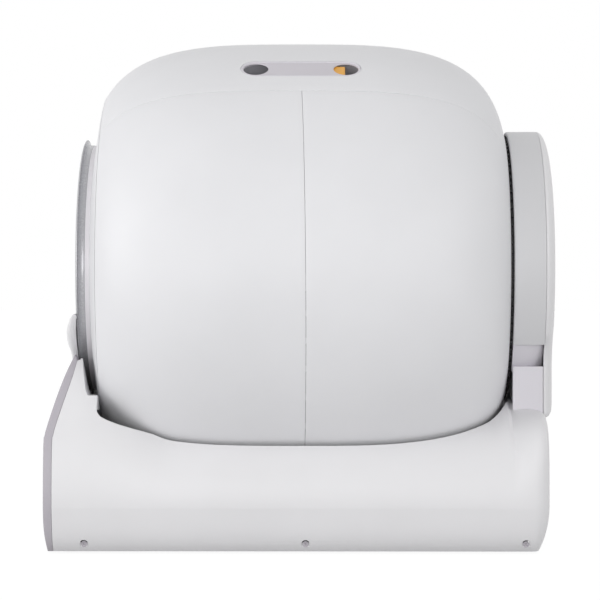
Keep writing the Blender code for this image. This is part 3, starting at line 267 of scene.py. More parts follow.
def slab(name, outlines, low, high, axis, edge=0.0, edge_steps=1):
    """A flat plate across an axis, with rounded edges if an edge is given. Later outlines are holes."""
    curve = bpy.data.curves.new(name, "CURVE")
    curve.dimensions = "2D"
    curve.fill_mode = "BOTH"
    curve.extrude = (high - low) / 2 - edge
    curve.bevel_depth = edge
    curve.bevel_resolution = edge_steps
    curve.offset = -edge
    for outline in outlines:
        spline = curve.splines.new("POLY")
        spline.points.add(len(outline) - 1)
        for point, (u, v) in zip(spline.points, outline):
            point.co = (u, v, 0, 1)
        spline.use_cyclic_u = True
    made = linked(name, curve)
    bpy.context.view_layer.update()
    graph = bpy.context.evaluated_depsgraph_get()
    mesh = bpy.data.meshes.new_from_object(made.evaluated_get(graph))
    bpy.data.objects.remove(made, do_unlink=True)
    frames = {
        "X": Matrix(((0, 0, 1, 0), (1, 0, 0, 0), (0, 1, 0, 0), (0, 0, 0, 1))),
        "Y": Matrix(((1, 0, 0, 0), (0, 0, -1, 0), (0, 1, 0, 0), (0, 0, 0, 1))),
        "Z": Matrix.Identity(4),
    }
    middle = Vector([(low + high) / 2 if letter == axis else 0 for letter in "XYZ"])
    with editing(mesh) as bm:
        bmesh.ops.remove_doubles(bm, verts=bm.verts, dist=0.000005)
        bmesh.ops.recalc_face_normals(bm, faces=bm.faces)
        bm.transform(Matrix.Translation(middle) @ frames[axis])
    return linked(name, mesh)


def rod(name, start, end, radius, sides=32):
    """A round bar between two points."""
    start, end = Vector(start), Vector(end)
    along = end - start
    mesh = bpy.data.meshes.new(name)
    with editing(mesh) as bm:
        bmesh.ops.create_cone(
            bm, cap_ends=True, segments=sides, radius1=radius, radius2=radius, depth=along.length
        )
        turn = along.to_track_quat("Z", "Y").to_matrix().to_4x4()
        bm.transform(Matrix.Translation((start + end) / 2) @ turn)
    return linked(name, mesh)


def circle(middle, radius, steps):
    """The closed outline of a circle."""
    turns = np.linspace(0, 2 * math.pi, steps, endpoint=False)
    return [(middle[0] + radius * math.cos(t), middle[1] + radius * math.sin(t)) for t in turns]


def rectangle(low_u, low_v, high_u, high_v):
    """The closed outline of a rectangle."""
    return [(low_u, low_v), (high_u, low_v), (high_u, high_v), (low_u, high_v)]


def filleted(points, radius, steps=3):
    """A closed outline with its corners rounded. A radius may be given for each point."""
    radii = radius if isinstance(radius, (list, tuple)) else [radius] * len(points)
    rounded = []
    count = len(points)
    for i, (x, y) in enumerate(points):
        before, here, after = Vector(points[i - 1]), Vector((x, y)), Vector(points[(i + 1) % count])
        one, two = (before - here), (after - here)
        if radii[i] <= 0 or one.length < 1e-6 or two.length < 1e-6:
            rounded.append((x, y))
            continue
        half = one.angle(two) / 2
        if half > math.radians(88) or half < math.radians(5):
            rounded.append((x, y))
            continue
        reach = min(radii[i] / math.tan(half), one.length * 0.48, two.length * 0.48)
        arc = reach * math.tan(half)
        start, end = here + one.normalized() * reach, here + two.normalized() * reach
        centre = here + (one.normalized() + two.normalized()).normalized() * (arc / math.sin(half))
        low, high = start - centre, end - centre
        for step in range(steps + 1):
            share = step / steps
            mixed = low * (1 - share) + high * share
            spot = centre + mixed.normalized() * arc if mixed.length > 1e-9 else here
            rounded.append((spot.x, spot.y))
    return rounded


# Places on the drum: an angle is 0 at the top and grows towards the near side


def around(angle, radius, x=0.0):
    """The point at an angle and a radius about the drum's axis."""
    turn = math.radians(angle)
    return Vector((x, -radius * math.sin(turn), axis_height + radius * math.cos(turn)))


def arc(radius, first, last, steps):
    """(y, z) points about the drum's axis."""
    turns = [first + (last - first) * i / steps for i in range(steps + 1)]
    return [tuple(around(turn, radius)[1:]) for turn in turns]


def barrel_radius(x, inset=0.0):
    """The drum's radius at a place along it."""
    share = abs(x - drum_middle_x) / (drum_half_length - inset)
    return (drum_radius - inset) * max(0.0, 1 - share**end_power) ** (1 / round_power)


def barrel_x(radius, inset=0.0):
    """How far from its middle the drum has a radius."""
    rise = 1 - (radius / (drum_radius - inset)) ** round_power
    return (drum_half_length - inset) * rise ** (1 / end_power)


def barrel_places(start, end, count, inset=0.0):
    """Places along the drum, closer together where its wall bends."""
    reach = drum_half_length - inset

    def turn(x):
        return math.asin(max(-1.0, min(1.0, (x - drum_middle_x) / reach)))

    first, last = turn(start), turn(end)
    places = [
        drum_middle_x + reach * math.sin(first + (last - first) * i / count) for i in range(count + 1)
    ]
    places[0], places[-1] = start, end
    return places


def barrel_line(start, end, inset=0.0, count=40):
    """(x, radius) points along the drum's wall."""
    return [(x, barrel_radius(x, inset)) for x in barrel_places(start, end, count, inset)]


cap_x = drum_middle_x - barrel_x(cap_radius)
neck_x = cap_x - cap_rise
ring_back_x = neck_x - seat_gap
ring_rim_x = ring_back_x - ring_neck_length
ring_front_x = ring_rim_x - ring_rim_depth
notch_front_x = ring_front_x + 0.0085
notch_back_x = notch_front_x + 0.0183
drum_back_x = drum_middle_x + barrel_x(rear_radius)
gear_front_x = drum_back_x + seat_gap
tower_front_x = gear_front_x + flange_thickness + tower_stand_off


def with_borders(inner, borders):
    """Sorted grid lines, with close lines beside each border and none too near it."""
    shares = (0.0, 0.12, 0.36, 0.68, 1.0)
    close = []
    for place, reach in borders:
        close += [place + side * share * reach for share in shares for side in (-1, 1)]
    kept = [v for v in inner if all(abs(v - place) > 1.5 * reach for place, reach in borders)]
    low, high = min(inner), max(inner)
    lines = sorted(set(round(v, 9) for v in kept + close + [low, high]))
    return [v for v in lines if low - 1e-9 <= v <= high + 1e-9]


def drum_panel(name, low_x, high_x, first, last, holes=(), edge=0.0007):
    """A panel of the drum's wall with rounded borders, and with any rectangles of it left out."""
    degree = math.degrees(1 / drum_radius)
    slope = [
        abs(barrel_radius(x + 1e-4) - barrel_radius(x - 1e-4)) / 2e-4 for x in (low_x, high_x)
    ]
    reach_x = [edge / math.hypot(1, s) for s in slope]
    x_borders = [(low_x, reach_x[0]), (high_x, reach_x[1])]
    a_borders = [(first, edge * degree), (last, edge * degree)]
    for x0, x1, a0, a1 in holes:
        x_borders += [(x, edge) for x in (x0, x1) if low_x < x < high_x]
        a_borders += [(a, edge * degree) for a in (a0, a1) if first < a < last]
    count = max(8, round(22 * fine * (high_x - low_x) / drum_half_length))
    xs = with_borders(barrel_places(low_x, high_x, count), x_borders)
    steps = max(6, round((last - first) / (4.0 / fine)))
    turns = with_borders([first + (last - first) * i / steps for i in range(steps + 1)], a_borders)

    def drop(x, a):
        """How far the rounded border is below the wall's face."""
        shares = [
            (x - low_x) / reach_x[0],
            (high_x - x) / reach_x[1],
            (a - first) / (edge * degree),
            (last - a) / (edge * degree),
        ]
        for x0, x1, a0, a1 in holes:
            dx = max(x0 - x, 0, x - x1) / edge
            da = max(a0 - a, 0, a - a1) / (edge * degree)
            shares.append(math.hypot(dx, da))
        share = min(1.0, max(0.0, min(shares)))
        return edge * (1 - math.sqrt(max(0.0, 1 - (1 - share) ** 2)))

    size = len(turns)
    points = [around(a, barrel_radius(x, drop(x, a)), x) for x in xs for a in turns]
    points += [around(a, barrel_radius(x, drum_wall), x) for x in xs for a in turns]
    inner = len(xs) * size

    def open_cell(i, j):
        if not (0 <= i < len(xs) - 1 and 0 <= j < size - 1):
            return True
        x, a = (xs[i] + xs[i + 1]) / 2, (turns[j] + turns[j + 1]) / 2
        return any(x0 < x < x1 and a0 < a < a1 for x0, x1, a0, a1 in holes)

    faces = []
    for i in range(len(xs) - 1):
        for j in range(size - 1):
            if open_cell(i, j):
                continue
            p, q, r, s = i * size + j, i * size + j + 1, (i + 1) * size + j + 1, (i + 1) * size + j
            faces += [(p, q, r, s), (inner + p, inner + s, inner + r, inner + q)]
            sides = ((p, q, i - 1, j), (r, s, i + 1, j), (s, p, i, j - 1), (q, r, i, j + 1))
            faces += [(two, one, inner + one, inner + two) for one, two, *near in sides if open_cell(*near)]
    made = shape(name, points, faces)
    with editing(made.data) as bm:
        bmesh.ops.delete(bm, geom=[v for v in bm.verts if not v.link_faces], context="VERTS")
    return made


# Finishes


def node_group(name, inputs, outputs):
    """A new shader node group with named inputs and outputs, and its two end nodes."""
    group = bpy.data.node_groups.new(name, "ShaderNodeTree")
    for label, kind, value in inputs:
        socket = group.interface.new_socket(label, in_out="INPUT", socket_type=kind)
        socket.default_value = value
    for label, kind in outputs:
        group.interface.new_socket(label, in_out="OUTPUT", socket_type=kind)
    return group, group.nodes.new("NodeGroupInput"), group.nodes.new("NodeGroupOutput")


def wire(tree, kind, links=(), **settings):
    """A node with its settings and its linked or plain inputs."""
    node = tree.nodes.new(kind)
    for key, value in settings.items():
        setattr(node, key, value)
    for socket, source in links:
        if isinstance(source, bpy.types.NodeSocket):
            tree.links.new(source, node.inputs[socket])
        else:
            node.inputs[socket].default_value = source
    return node


def maths(tree, operation, *values, clamped=False):
    """The result of a Math node on sockets or numbers."""
    links = list(enumerate(values))
    return wire(tree, "ShaderNodeMath", links, operation=operation, use_clamp=clamped).outputs[0]


def remap(tree, value, source=(0.0, 1.0), target=(0.0, 1.0), **settings):
    """A value moved from one span to another."""
    spans = [("From Min", source[0]), ("From Max", source[1]), ("To Min", target[0]), ("To Max", target[1])]
    return wire(tree, "ShaderNodeMapRange", [("Value", value), *spans], **settings).outputs["Result"]


def noise(tree, place, scale, detail, roughness=0.5):
    """Noise over a surface, from 0 to 1."""
    links = [("Vector", place), ("Scale", scale), ("Detail", detail), ("Roughness", roughness)]
    return wire(tree, "ShaderNodeTexNoise", links).outputs["Fac"]


def bump(tree, shader, height, distance, strength):
    """A height that bends a shader's normal."""
    links = [("Height", height), ("Distance", distance), ("Strength", strength)]
    tree.links.new(wire(tree, "ShaderNodeBump", links).outputs["Normal"], shader.inputs["Normal"])


def build_grain():
    """Moulded grain: fine noise on the surface, as a height."""
    group, start, end = node_group(
        "moulded_grain",
        [("Scale", "NodeSocketFloat", 1500.0), ("Contrast", "NodeSocketFloat", 1.0)],
        [("Height", "NodeSocketFloat"), ("Mask", "NodeSocketFloat")],
    )
    place = wire(group, "ShaderNodeTexCoord").outputs["Object"]
    mask = remap(group, noise(group, place, start.outputs["Scale"], 2.0, 0.6), (0.3, 0.7))
    height = maths(group, "MULTIPLY", mask, start.outputs["Contrast"])
    group.links.new(height, end.inputs["Height"])
    group.links.new(mask, end.inputs["Mask"])
    return group


def build_drift():
    """Slow drift of tone over a surface, as a moulding or a sheet has."""
    group, start, end = node_group(
        "tone_drift",
        [
            ("Colour", "NodeSocketColor", (0.8, 0.8, 0.8, 1)),
            ("Amount", "NodeSocketFloat", 0.03),
            ("Scale", "NodeSocketFloat", 9.0),
        ],
        [("Colour", "NodeSocketColor"), ("Mask", "NodeSocketFloat")],
    )
    place = wire(group, "ShaderNodeTexCoord").outputs["Object"]
    slow = noise(group, place, start.outputs["Scale"], 3.0, 0.55)
    factor = remap(group, slow, (0.3, 0.7), (-1.0, 1.0))
    shift = maths(group, "MULTIPLY_ADD", factor, start.outputs["Amount"], 1.0)
    links = [(0, start.outputs["Colour"]), ("Scale", shift)]
    toned = wire(group, "ShaderNodeVectorMath", links, operation="SCALE")
    group.links.new(toned.outputs[0], end.inputs["Colour"])
    group.links.new(slow, end.inputs["Mask"])
    return group


def build_dust():
    """Faint dust that settles on faces that look up."""
    group, start, end = node_group(
        "settled_dust",
        [("Amount", "NodeSocketFloat", 0.1), ("Scale", "NodeSocketFloat", 60.0)],
        [("Mask", "NodeSocketFloat")],
    )
    place = wire(group, "ShaderNodeTexCoord")
    up = wire(group, "ShaderNodeSeparateXYZ", [(0, place.outputs["Normal"])])
    level = remap(group, up.outputs["Z"], (0.45, 1.0), interpolation_type="SMOOTHSTEP")
    specks = noise(group, place.outputs["Object"], start.outputs["Scale"], 4.0)
    mask = maths(group, "MULTIPLY", maths(group, "MULTIPLY", level, specks), start.outputs["Amount"])
    group.links.new(mask, end.inputs["Mask"])
    return group


grain_group, drift_group, dust_group = build_grain(), build_drift(), build_dust()
dust_colour = (0.60, 0.58, 0.55, 1)


def placed_group(tree, group, **values):
    """A node group in a tree, with values for its inputs."""
    node = tree.nodes.new("ShaderNodeGroup")
    node.node_tree = group
    for label, value in values.items():
        node.inputs[label].default_value = value
    return node


def new_look(name):
    """A new material, its node tree and its shader."""
    look = bpy.data.materials.new(name)
    look.use_nodes = True
    return look, look.node_tree, look.node_tree.nodes["Principled BSDF"]


def moulded(name, colour, roughness, grain=1500.0, depth=0.00002, dust=0.0, **settings):
    """A plastic, rubber or felt: drifting tone, fine grain and any dust."""
    look, tree, shader = new_look(name)
    for label, value in settings.items():
        shader.inputs[label.replace("_", " ")].default_value = value
    tone = placed_group(tree, drift_group, Colour=(*colour, 1), Amount=0.015).outputs["Colour"]
    fine_grain = placed_group(tree, grain_group, Scale=grain)
    bump(tree, shader, fine_grain.outputs["Height"], depth, 1.0)
    rough = remap(tree, fine_grain.outputs["Mask"], target=(max(0.02, roughness - 0.04), roughness + 0.04))
    if dust:
        mask = placed_group(tree, dust_group, Amount=dust).outputs["Mask"]
        mix = wire(tree, "ShaderNodeMix", [(0, mask), (6, tone), (7, dust_colour)], data_type="RGBA")
        tone = mix.outputs[2]
        rough = maths(tree, "MULTIPLY_ADD", mask, 0.5, rough)
    tree.links.new(tone, shader.inputs["Base Color"])
    tree.links.new(rough, shader.inputs["Roughness"])
    return look


def brushed(name, colour, roughness):
    """A metal with fine lines drawn along it."""
    look, tree, shader = new_look(name)
    shader.inputs["Metallic"].default_value = 1.0
    place = wire(tree, "ShaderNodeTexCoord").outputs["Object"]
    drawn = wire(tree, "ShaderNodeMapping", [("Vector", place), ("Scale", (4.0, 60.0, 60.0))])
    lines = noise(tree, drawn.outputs[0], 12.0, 3.0)
    rough = remap(tree, lines, target=(roughness - 0.08, roughness + 0.12))
    tree.links.new(rough, shader.inputs["Roughness"])
    toned = placed_group(tree, drift_group, Colour=(*colour, 1), Amount=0.05, Scale=40.0)
    tree.links.new(toned.outputs["Colour"], shader.inputs["Base Color"])
    bump(tree, shader, lines, 0.00002, 0.6)
    return look


def coated_board():
    """A green circuit board with copper lines under its coat."""
    look, tree, shader = new_look("coated_board")
    shader.inputs["Roughness"].default_value = 0.3
    place = wire(tree, "ShaderNodeTexCoord").outputs["Object"]
    links = [("Vector", place), ("Rotation", (0, math.radians(90), 0))]
    turned_place = wire(tree, "ShaderNodeMapping", links)
    bricks = wire(
        tree,
        "ShaderNodeTexBrick",
        [
            ("Vector", turned_place.outputs[0]),
            ("Color1", (0.02, 0.12, 0.06, 1)),
            ("Color2", (0.02, 0.16, 0.08, 1)),
            ("Mortar", (0.05, 0.30, 0.15, 1)),
            ("Scale", 60.0),
            ("Mortar Size", 0.03),
        ],
    )
    tree.links.new(bricks.outputs["Color"], shader.inputs["Base Color"])
    return look


white_shell = moulded("white_shell", (0.79, 0.79, 0.81), 0.46, dust=0.03)
white_base = moulded("white_base", (0.79, 0.785, 0.80), 0.40, dust=0.03)
white_inner = moulded("white_inner", (0.76, 0.76, 0.78), 0.50)
lilac_trim = moulded("lilac_trim", (0.47, 0.445, 0.485), 0.42, depth=0.00004)
tower_grey = moulded("tower_grey", (0.665, 0.665, 0.68), 0.42)
tower_panel = moulded("tower_panel", (0.72, 0.70, 0.745), 0.42)
grip_grey = moulded("grip_grey", (0.62, 0.595, 0.64), 0.42)
ring_silver = moulded("ring_silver", (0.46, 0.46, 0.48), 0.26, depth=0.00001, Metallic=0.35)
# The neck's colour is lifted above the drum's white as painted light, standing in for the light that the base
# keeps from its lower part.
ring_neck_painted_light = moulded("ring_neck_painted_light", (0.84, 0.82, 0.85), 0.40)
gear_acetal = moulded("gear_acetal", (0.62, 0.62, 0.60), 0.45)
dark_plastic = moulded("dark_plastic", (0.035, 0.035, 0.038), 0.45, depth=0.00004)
# The pocket's grey is painted shade: a darker colour standing in for the shade inside the closed pocket
# behind the finger holes.
pocket_painted_shade = moulded("pocket_painted_shade", (0.30, 0.295, 0.32), 0.4)
smoked_lens = moulded("smoked_lens", (0.012, 0.012, 0.014), 0.08, depth=0.0, Coat_Weight=0.5)
amber_latch = moulded("amber_latch", (0.83, 0.40, 0.035), 0.34)
black_rubber = moulded("black_rubber", (0.022, 0.022, 0.024), 0.75, depth=0.00006)
carbon_felt = moulded("carbon_felt", (0.03, 0.03, 0.032), 0.95, grain=500.0, depth=0.0004)
zinc_steel = brushed("zinc_steel", (0.58, 0.58, 0.60), 0.34)
green_board = coated_board()


def dressed(made, node, look, angle=35):
    """A finished piece in place of a CAD node, riding on that node's body."""
    made.name = node + "_dressed"
    if look is not None:
        coated(made, look)
    smooth(made, angle)
    owner = next(b for b, nodes in frame["record"]["behaviour"]["bodies"].items() if node in nodes)
    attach(made, owner)
    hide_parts(node)
    return made


def softened_node(node, look, width=0.0006, segments=2):
    """A copy of a CAD node with its edges rounded, in that node's place."""
    made = softened_edges(cad_copy(node, node + "_dressed", 1.0), width, segments, 32)
    return dressed(made, node, look)


# The drum

hinge_angle = -cover_angle - math.degrees(cover_gap / 2 / drum_radius)
hinge_axis_radius = drum_radius + 0.0002
hinge_places_x = (drum_middle_x - hinge_spread / 2, drum_middle_x + hinge_spread / 2)
shell_angle = cover_angle + math.degrees(cover_gap / drum_radius)
low_x, high_x = cap_x + 0.0002, drum_back_x - seat_gap
leaf_angle = math.degrees((hinge_leaf + seat_gap) / drum_radius)
lug_angle = math.degrees((hinge_radius + running_gap) / drum_radius)
port = (
    drum_middle_x - port_half_length,
    drum_middle_x + port_half_length,
    360 - port_last_angle,
    360 - port_first_angle,
)


def hinge_rooms(first, last):
    """The rectangles of the drum's wall that the hinges take, between two angles."""
    reach = hinge_length / 2 + seat_gap
    return [(x - reach, x + reach, first, last) for x in hinge_places_x]


def seam_bowed(made):
    """Bows the near side of the seam between the shells towards the front, most at its upper end."""
    least_bow, more_bow = 0.0015, 0.0042
    middle_turn, last_turn, turn_reach, x_reach = 105, 200, 60, 0.12
    for vertex in made.data.vertices:
        x, y, z = vertex.co
        turn = math.degrees(math.atan2(-y, z - axis_height)) % 360
        if turn > last_turn:
            continue
        bow = -least_bow - more_bow * ((turn - middle_turn) / turn_reach) ** 2
        fade = min(1.0, max(0.0, (last_turn - turn) / turn_reach))
        fade *= max(0.0, 1 - abs(x - drum_seam_x) / x_reach)
        vertex.co.x = x + bow * fade
    return made


shell_holes = [port, *hinge_rooms(360 + hinge_angle - leaf_angle, 361)]
for node, start, end in (
    ("drum_front_shell", low_x, drum_seam_x - seam_gap / 2),
    ("drum_rear_shell", drum_seam_x + seam_gap / 2, high_x),
):
    shell = drum_panel(node, start, end, shell_angle, 360 - shell_angle, shell_holes, 0.0004)
    dressed(seam_bowed(shell), node, white_shell)


def cup_line(inset):
    """The long round outline of the handle, drawn in by an inset."""
    steps = 16
    half = handle_width / 2 - inset
    straight = (handle_length - handle_width) / 2
    points = []
    for side, start in ((1, -90), (-1, 90)):
        for step in range(steps + 1):
            angle = math.radians(start + 180 * step / steps)
            points.append(
                (handle_middle_x + side * straight + half * math.cos(angle), half * math.sin(angle))
            )
    return points


def bent(made):
    """A flat piece laid round the drum at the handle: its Z is the height over the drum's top."""
    for vertex in made.data.vertices:
        x, v, w = vertex.co
        radius = barrel_radius(x) + w
        vertex.co = around(handle_angle - math.degrees(v / drum_radius), radius, x)
    made.data.update()
    return made


def cover_lugs():
    """The cover's eyes on the hinge pins, each with a web to the cover's edge."""
    edge = 0.0003
    centre = around(hinge_angle, hinge_axis_radius).yz
    eye = [circle(centre, radius, 24) for radius in (hinge_radius, hinge_pin_radius + seat_gap)]
    start = hinge_angle + math.degrees((hinge_pin_radius + 0.0008) / drum_radius)
    last = hinge_angle + math.degrees((hinge_radius + 2 * running_gap) / drum_radius)
    web = arc(drum_radius, start, last, 3) + arc(drum_radius - drum_wall, last, start, 3)
    lugs = []
    for x in hinge_places_x:
        low, high = x - hinge_lug / 2, x + hinge_lug / 2
        lugs.append(slab("lug", eye, low, high, "X", edge))
        lugs.append(slab("web", [web], low, high, "X", edge))
    return lugs


def top_cover():
    """The cover over the drum's top, with the hole for the handle and its lugs."""
    rooms = hinge_rooms(-cover_angle - 1, hinge_angle + lug_angle)
    cover = drum_panel("top_cover", low_x, high_x, -cover_angle, cover_angle, rooms, 0.0003)
    hole = slab("handle_hole", [cup_line(0.0)], 0.20, 0.26, "Z")
    lean = Matrix.Rotation(math.radians(handle_angle), 4, "X")
    hole.data.transform(Matrix.Translation((0, 0, axis_height)) @ lean)
    carve(cover, hole)
    return merged("top_cover", cover, *cover_lugs())


dressed(top_cover(), "top_cover", white_shell)


def cup_pocket(border):
    """The pocket behind the grip plate: a thin-walled tray."""
    sill = plate_bottom - drum_radius + 0.0002
    depth = pocket_floor - drum_radius
    inside = [
        (border, sill),
        (border, depth + 0.003),
        (border + 0.0009, depth + 0.0009),
        (border + 0.003, depth),
        (border + 0.010, depth),
    ]
    outside = [
        (border + 0.008, depth - 0.0022),
        (border + 0.001, depth - 0.0022),
        (border - 0.0015, depth + 0.001),
        (border - 0.0015, sill),
    ]
    rings = [[(x, v, w) for x, v in cup_line(inset)] for inset, w in inside + outside]
    count, floor = len(rings[0]), len(inside) - 1
    faces = []
    for row in range(len(rings)):
        if row != floor:
            faces += band(row * count, (row + 1) % len(rings) * count, count)
    faces += [tuple(range(row * count, (row + 1) * count)) for row in (floor, floor + 1)]
    return shape("cup_pocket", [p for ring in rings for p in ring], faces)


def handle_cup():
    """The handle: a light rim, a grey grip plate with two finger holes, and the pocket behind them, whose
    darker grey is painted shade.
    """
    border, rib_reach = 0.0024, 0.052
    rim = slab("cup_rim", [cup_line(0.0003), cup_line(border)], -0.0045, -0.0001, "Z", 0.0007, 3)
    spots = [(handle_middle_x + side * finger_spread / 2, 0) for side in (-1, 1)]
    seat = [cup_line(border - 0.0005), *[circle(spot, finger_radius, 48) for spot in spots]]
    plate = slab("cup_plate", seat, plate_bottom - drum_radius, plate_top - drum_radius, "Z", 0.0009, 3)
    # The pocket and its ribs take the darker grey that paints the shade inside the pocket.
    parts = [coated(rim, tower_panel), coated(plate, grip_grey), coated(cup_pocket(border), pocket_painted_shade)]
    depth = pocket_floor - drum_radius
    for v in (-0.0075, -0.0025, 0.0025, 0.0075):
        low = (handle_middle_x - rib_reach, v - 0.0008, depth - 0.0004)
        rib = block("rib", low, (handle_middle_x + rib_reach, v + 0.0008, depth + 0.0020))
        parts.append(coated(rib, pocket_painted_shade))
    return merged("handle_cup", *[bent(part) for part in parts])


def cover_latch():
    """The amber latch behind the rear finger hole."""
    half_length, half_width, thickness = 0.013, 0.010, 0.0065
    middle = handle_middle_x + finger_spread / 2 - finger_radius + 0.0121 - half_length
    outline = filleted(rectangle(-half_length, -half_width, half_length, half_width), 0.0015, 3)
    high = plate_bottom - drum_radius - 0.0004
    line = [(middle + x, v) for x, v in outline]
    return bent(slab("cover_latch", [line], high - thickness, high, "Z", 0.0010, 3))


dressed(handle_cup(), "handle_cup", None)
dressed(cover_latch(), "cover_latch", amber_latch)


def front_cap():
    """The drum's low cone of an end, round the entry."""
    outside = []
    for i in range(21):
        share = (i / 20) ** 2
        radius = cap_radius + (neck_radius - cap_radius) * share
        outside.append((cap_x - cap_rise * share**cap_power, radius))
    inside = [(neck_x, ring_bore), (neck_x + drum_wall, ring_bore), (cap_x, barrel_radius(cap_x, drum_wall))]
    radii = [0.0004] + [0.0] * 19 + [0.0002, 0.0, 0.0, 0.0]
    return turned("front_cap", filleted(outside + inside, radii))


dressed(front_cap(), "front_cap", white_shell)
bead_front_x = ring_front_x + 0.0016


def entry_ring():
    """The ring round the entry: a rounded silver bead on a collar, and the neck behind it, painted paler than
    the drum's white as painted light.
    """
    half, middle = (ring_radius - ring_bore) / 2, (ring_radius + ring_bore) / 2
    nose, collar_length, collar_drop = 0.0021, 0.0052, 0.0058
    bead_x = bead_front_x + nose
    front = [
        (bead_x - nose * math.sin(math.radians(angle)), middle + half * math.cos(math.radians(angle)))
        for angle in range(0, 181, 10)
    ]
    back = [
        (
            bead_x + collar_length * (1 - math.cos(math.radians(angle))),
            ring_radius - collar_drop * math.sin(math.radians(angle)),
        )
        for angle in range(90, 0, -10)
    ]
    foot = [
        (ring_rim_x, neck_radius - 0.0006),
        (ring_rim_x, neck_radius + 0.0003),
        (ring_rim_x - 0.0004, neck_radius + 0.0005),
    ]
    rim = turned("rim", foot + back + front + [(ring_rim_x, ring_bore)])
    neck_end = neck_x - 0.00003
    neck = rectangle(neck_end, neck_radius, ring_rim_x, ring_bore)
    return merged("entry_ring", coated(rim, ring_silver), coated(turned("neck", neck), ring_neck_painted_light))


dressed(entry_ring(), "entry_ring", None, angle=50)


def repeated(name, source, points, turns, look):
    """One mesh set at many places by Geometry Nodes, with a turn about X at each."""
    carrier = bpy.data.meshes.new(name)
    carrier.from_pydata([tuple(p) for p in points], [], [])
    attribute = carrier.attributes.new("turn", "FLOAT", "POINT")
    attribute.data.foreach_set("value", list(turns))
    made = linked(name, carrier)
    tree = bpy.data.node_groups.new(name + "_nodes", "GeometryNodeTree")
    tree.interface.new_socket("Geometry", in_out="INPUT", socket_type="NodeSocketGeometry")
    size_socket = tree.interface.new_socket("Size", in_out="INPUT", socket_type="NodeSocketFloat")
    size_socket.default_value = 1.0
    tree.interface.new_socket("Geometry", in_out="OUTPUT", socket_type="NodeSocketGeometry")
    start, end = tree.nodes.new("NodeGroupInput"), tree.nodes.new("NodeGroupOutput")
    item = wire(tree, "GeometryNodeObjectInfo", [("Object", source)])
    stored = wire(tree, "GeometryNodeInputNamedAttribute", [("Name", "turn")], data_type="FLOAT")
    turn = wire(tree, "ShaderNodeCombineXYZ", [("X", stored.outputs[0])])
    places = wire(tree, "GeometryNodeMeshToPoints", [("Mesh", start.outputs["Geometry"])])
    spread = wire(
        tree,
        "GeometryNodeInstanceOnPoints",
        [
            ("Points", places.outputs[0]),
            ("Instance", item.outputs["Geometry"]),
            ("Rotation", turn.outputs[0]),
            ("Scale", start.outputs["Size"]),
        ],
    )
    real = wire(tree, "GeometryNodeRealizeInstances", [("Geometry", spread.outputs[0])])
    coat = wire(tree, "GeometryNodeSetMaterial", [("Geometry", real.outputs[0]), ("Material", look)])
    tree.links.new(coat.outputs[0], end.inputs[0])
    modifier = made.modifiers.new("repeat", "NODES")
    modifier.node_group = tree
    modifier[size_socket.identifier] = 1.0
    settled(made)
    bpy.data.objects.remove(source, do_unlink=True)
    return coated(made, look)


def ring_gear():
    """The CAD gear with a ribbed edge to its flange."""
    gear = cad_copy("ring_gear", "ring_gear_body", 0.5)
    front, back = gear_front_x, gear_front_x + flange_thickness
    low, high = flange_radius - 0.0045, flange_radius + overrun
    room = [(back + 0.0001, high), (front - overrun, high), (front - overrun, low), (back + 0.0001, low)]
    carve(gear, turned("flange_room", room, 96))
    outer, inner = flange_radius - 0.0030, flange_radius - 0.0060
    corners = [(back, outer), (front, outer), (front, inner), (back, inner)]
    edge = turned("flange_edge", filleted(corners, [0.0005, 0.0005, 0, 0]))
    corners = [(-0.0020, -0.0035), (0.0020, -0.0035), (0.0013, 0.0), (-0.0013, 0.0)]
    rib = filleted(corners, [0, 0, 0.0006, 0.0006], 2)
    rib = slab("flange_rib", [rib], front + 0.0001, back - 0.0001, "X", 0.0003)
    count = 90
    angles = [360 * i / count for i in range(count)]
    points = [around(angle, flange_radius) for angle in angles]
    ribs = repeated("flange_ribs", rib, points, [math.radians(angle) for angle in angles], dark_plastic)
    return merged("ring_gear", coated(gear, gear_acetal), coated(edge, dark_plastic), ribs)


dressed(ring_gear(), "ring_gear", None)

for node, look, width in (
    ("rear_plate", white_inner, 0.0005),
    ("waste_shutter", lilac_trim, 0.0005),
    ("sifting_screen", dark_plastic, 0.0005),
    ("litter_liner", black_rubber, 0.0005),
    ("cover_hinge_1", zinc_steel, 0.0003),
    ("cover_hinge_2", zinc_steel, 0.0003),
    ("base_pan", dark_plastic, 0.0006),
    ("drawer_tray", white_inner, 0.0008),
    ("bag_frame", lilac_trim, 0.0008),
    ("odour_filter", carbon_felt, 0.0015),
    ("motor_bracket", zinc_steel, 0.0003),
    ("gearbox", dark_plastic, 0.0012),
    ("motor", zinc_steel, 0.0008),
    ("main_board", green_board, 0.0002),
    ("power_inlet", dark_plastic, 0.0005),
    ("pinion", gear_acetal, 0.0003),
):
    softened_node(node, look, width)
for end in ("front", "rear"):
    for side in ("near", "far"):
        softened_node(f"bracket_{end}_{side}", dark_plastic, 0.0008)
        softened_node(f"axle_{end}_{side}", zinc_steel, 0.0005)
        softened_node(f"roller_{end}_{side}", black_rubber, 0.0012, 3)
for number in range(1, 5):
    softened_node(f"foot_{number}", black_rubber, 0.0008)


# The base


crest_places = (0.1950, 0.2050, 0.2120, 0.2154, 0.2192, 0.2280, 0.2370, 0.2543)
crest_rises = (0, 0.006, 0.0115, 0.0135, 0.0076, 0.0040, 0.0016, -0.0035)
square_places, square_powers = (0.2192, 0.2543), (0, 1.9)
tower_stations = (
    *(0.1950, 0.2000, 0.2050, 0.2085, 0.2120, 0.2137),
    *(0.2154, 0.2173, 0.2192, 0.2235, 0.2280, 0.2330),
)
tuck_depth = 0.0030


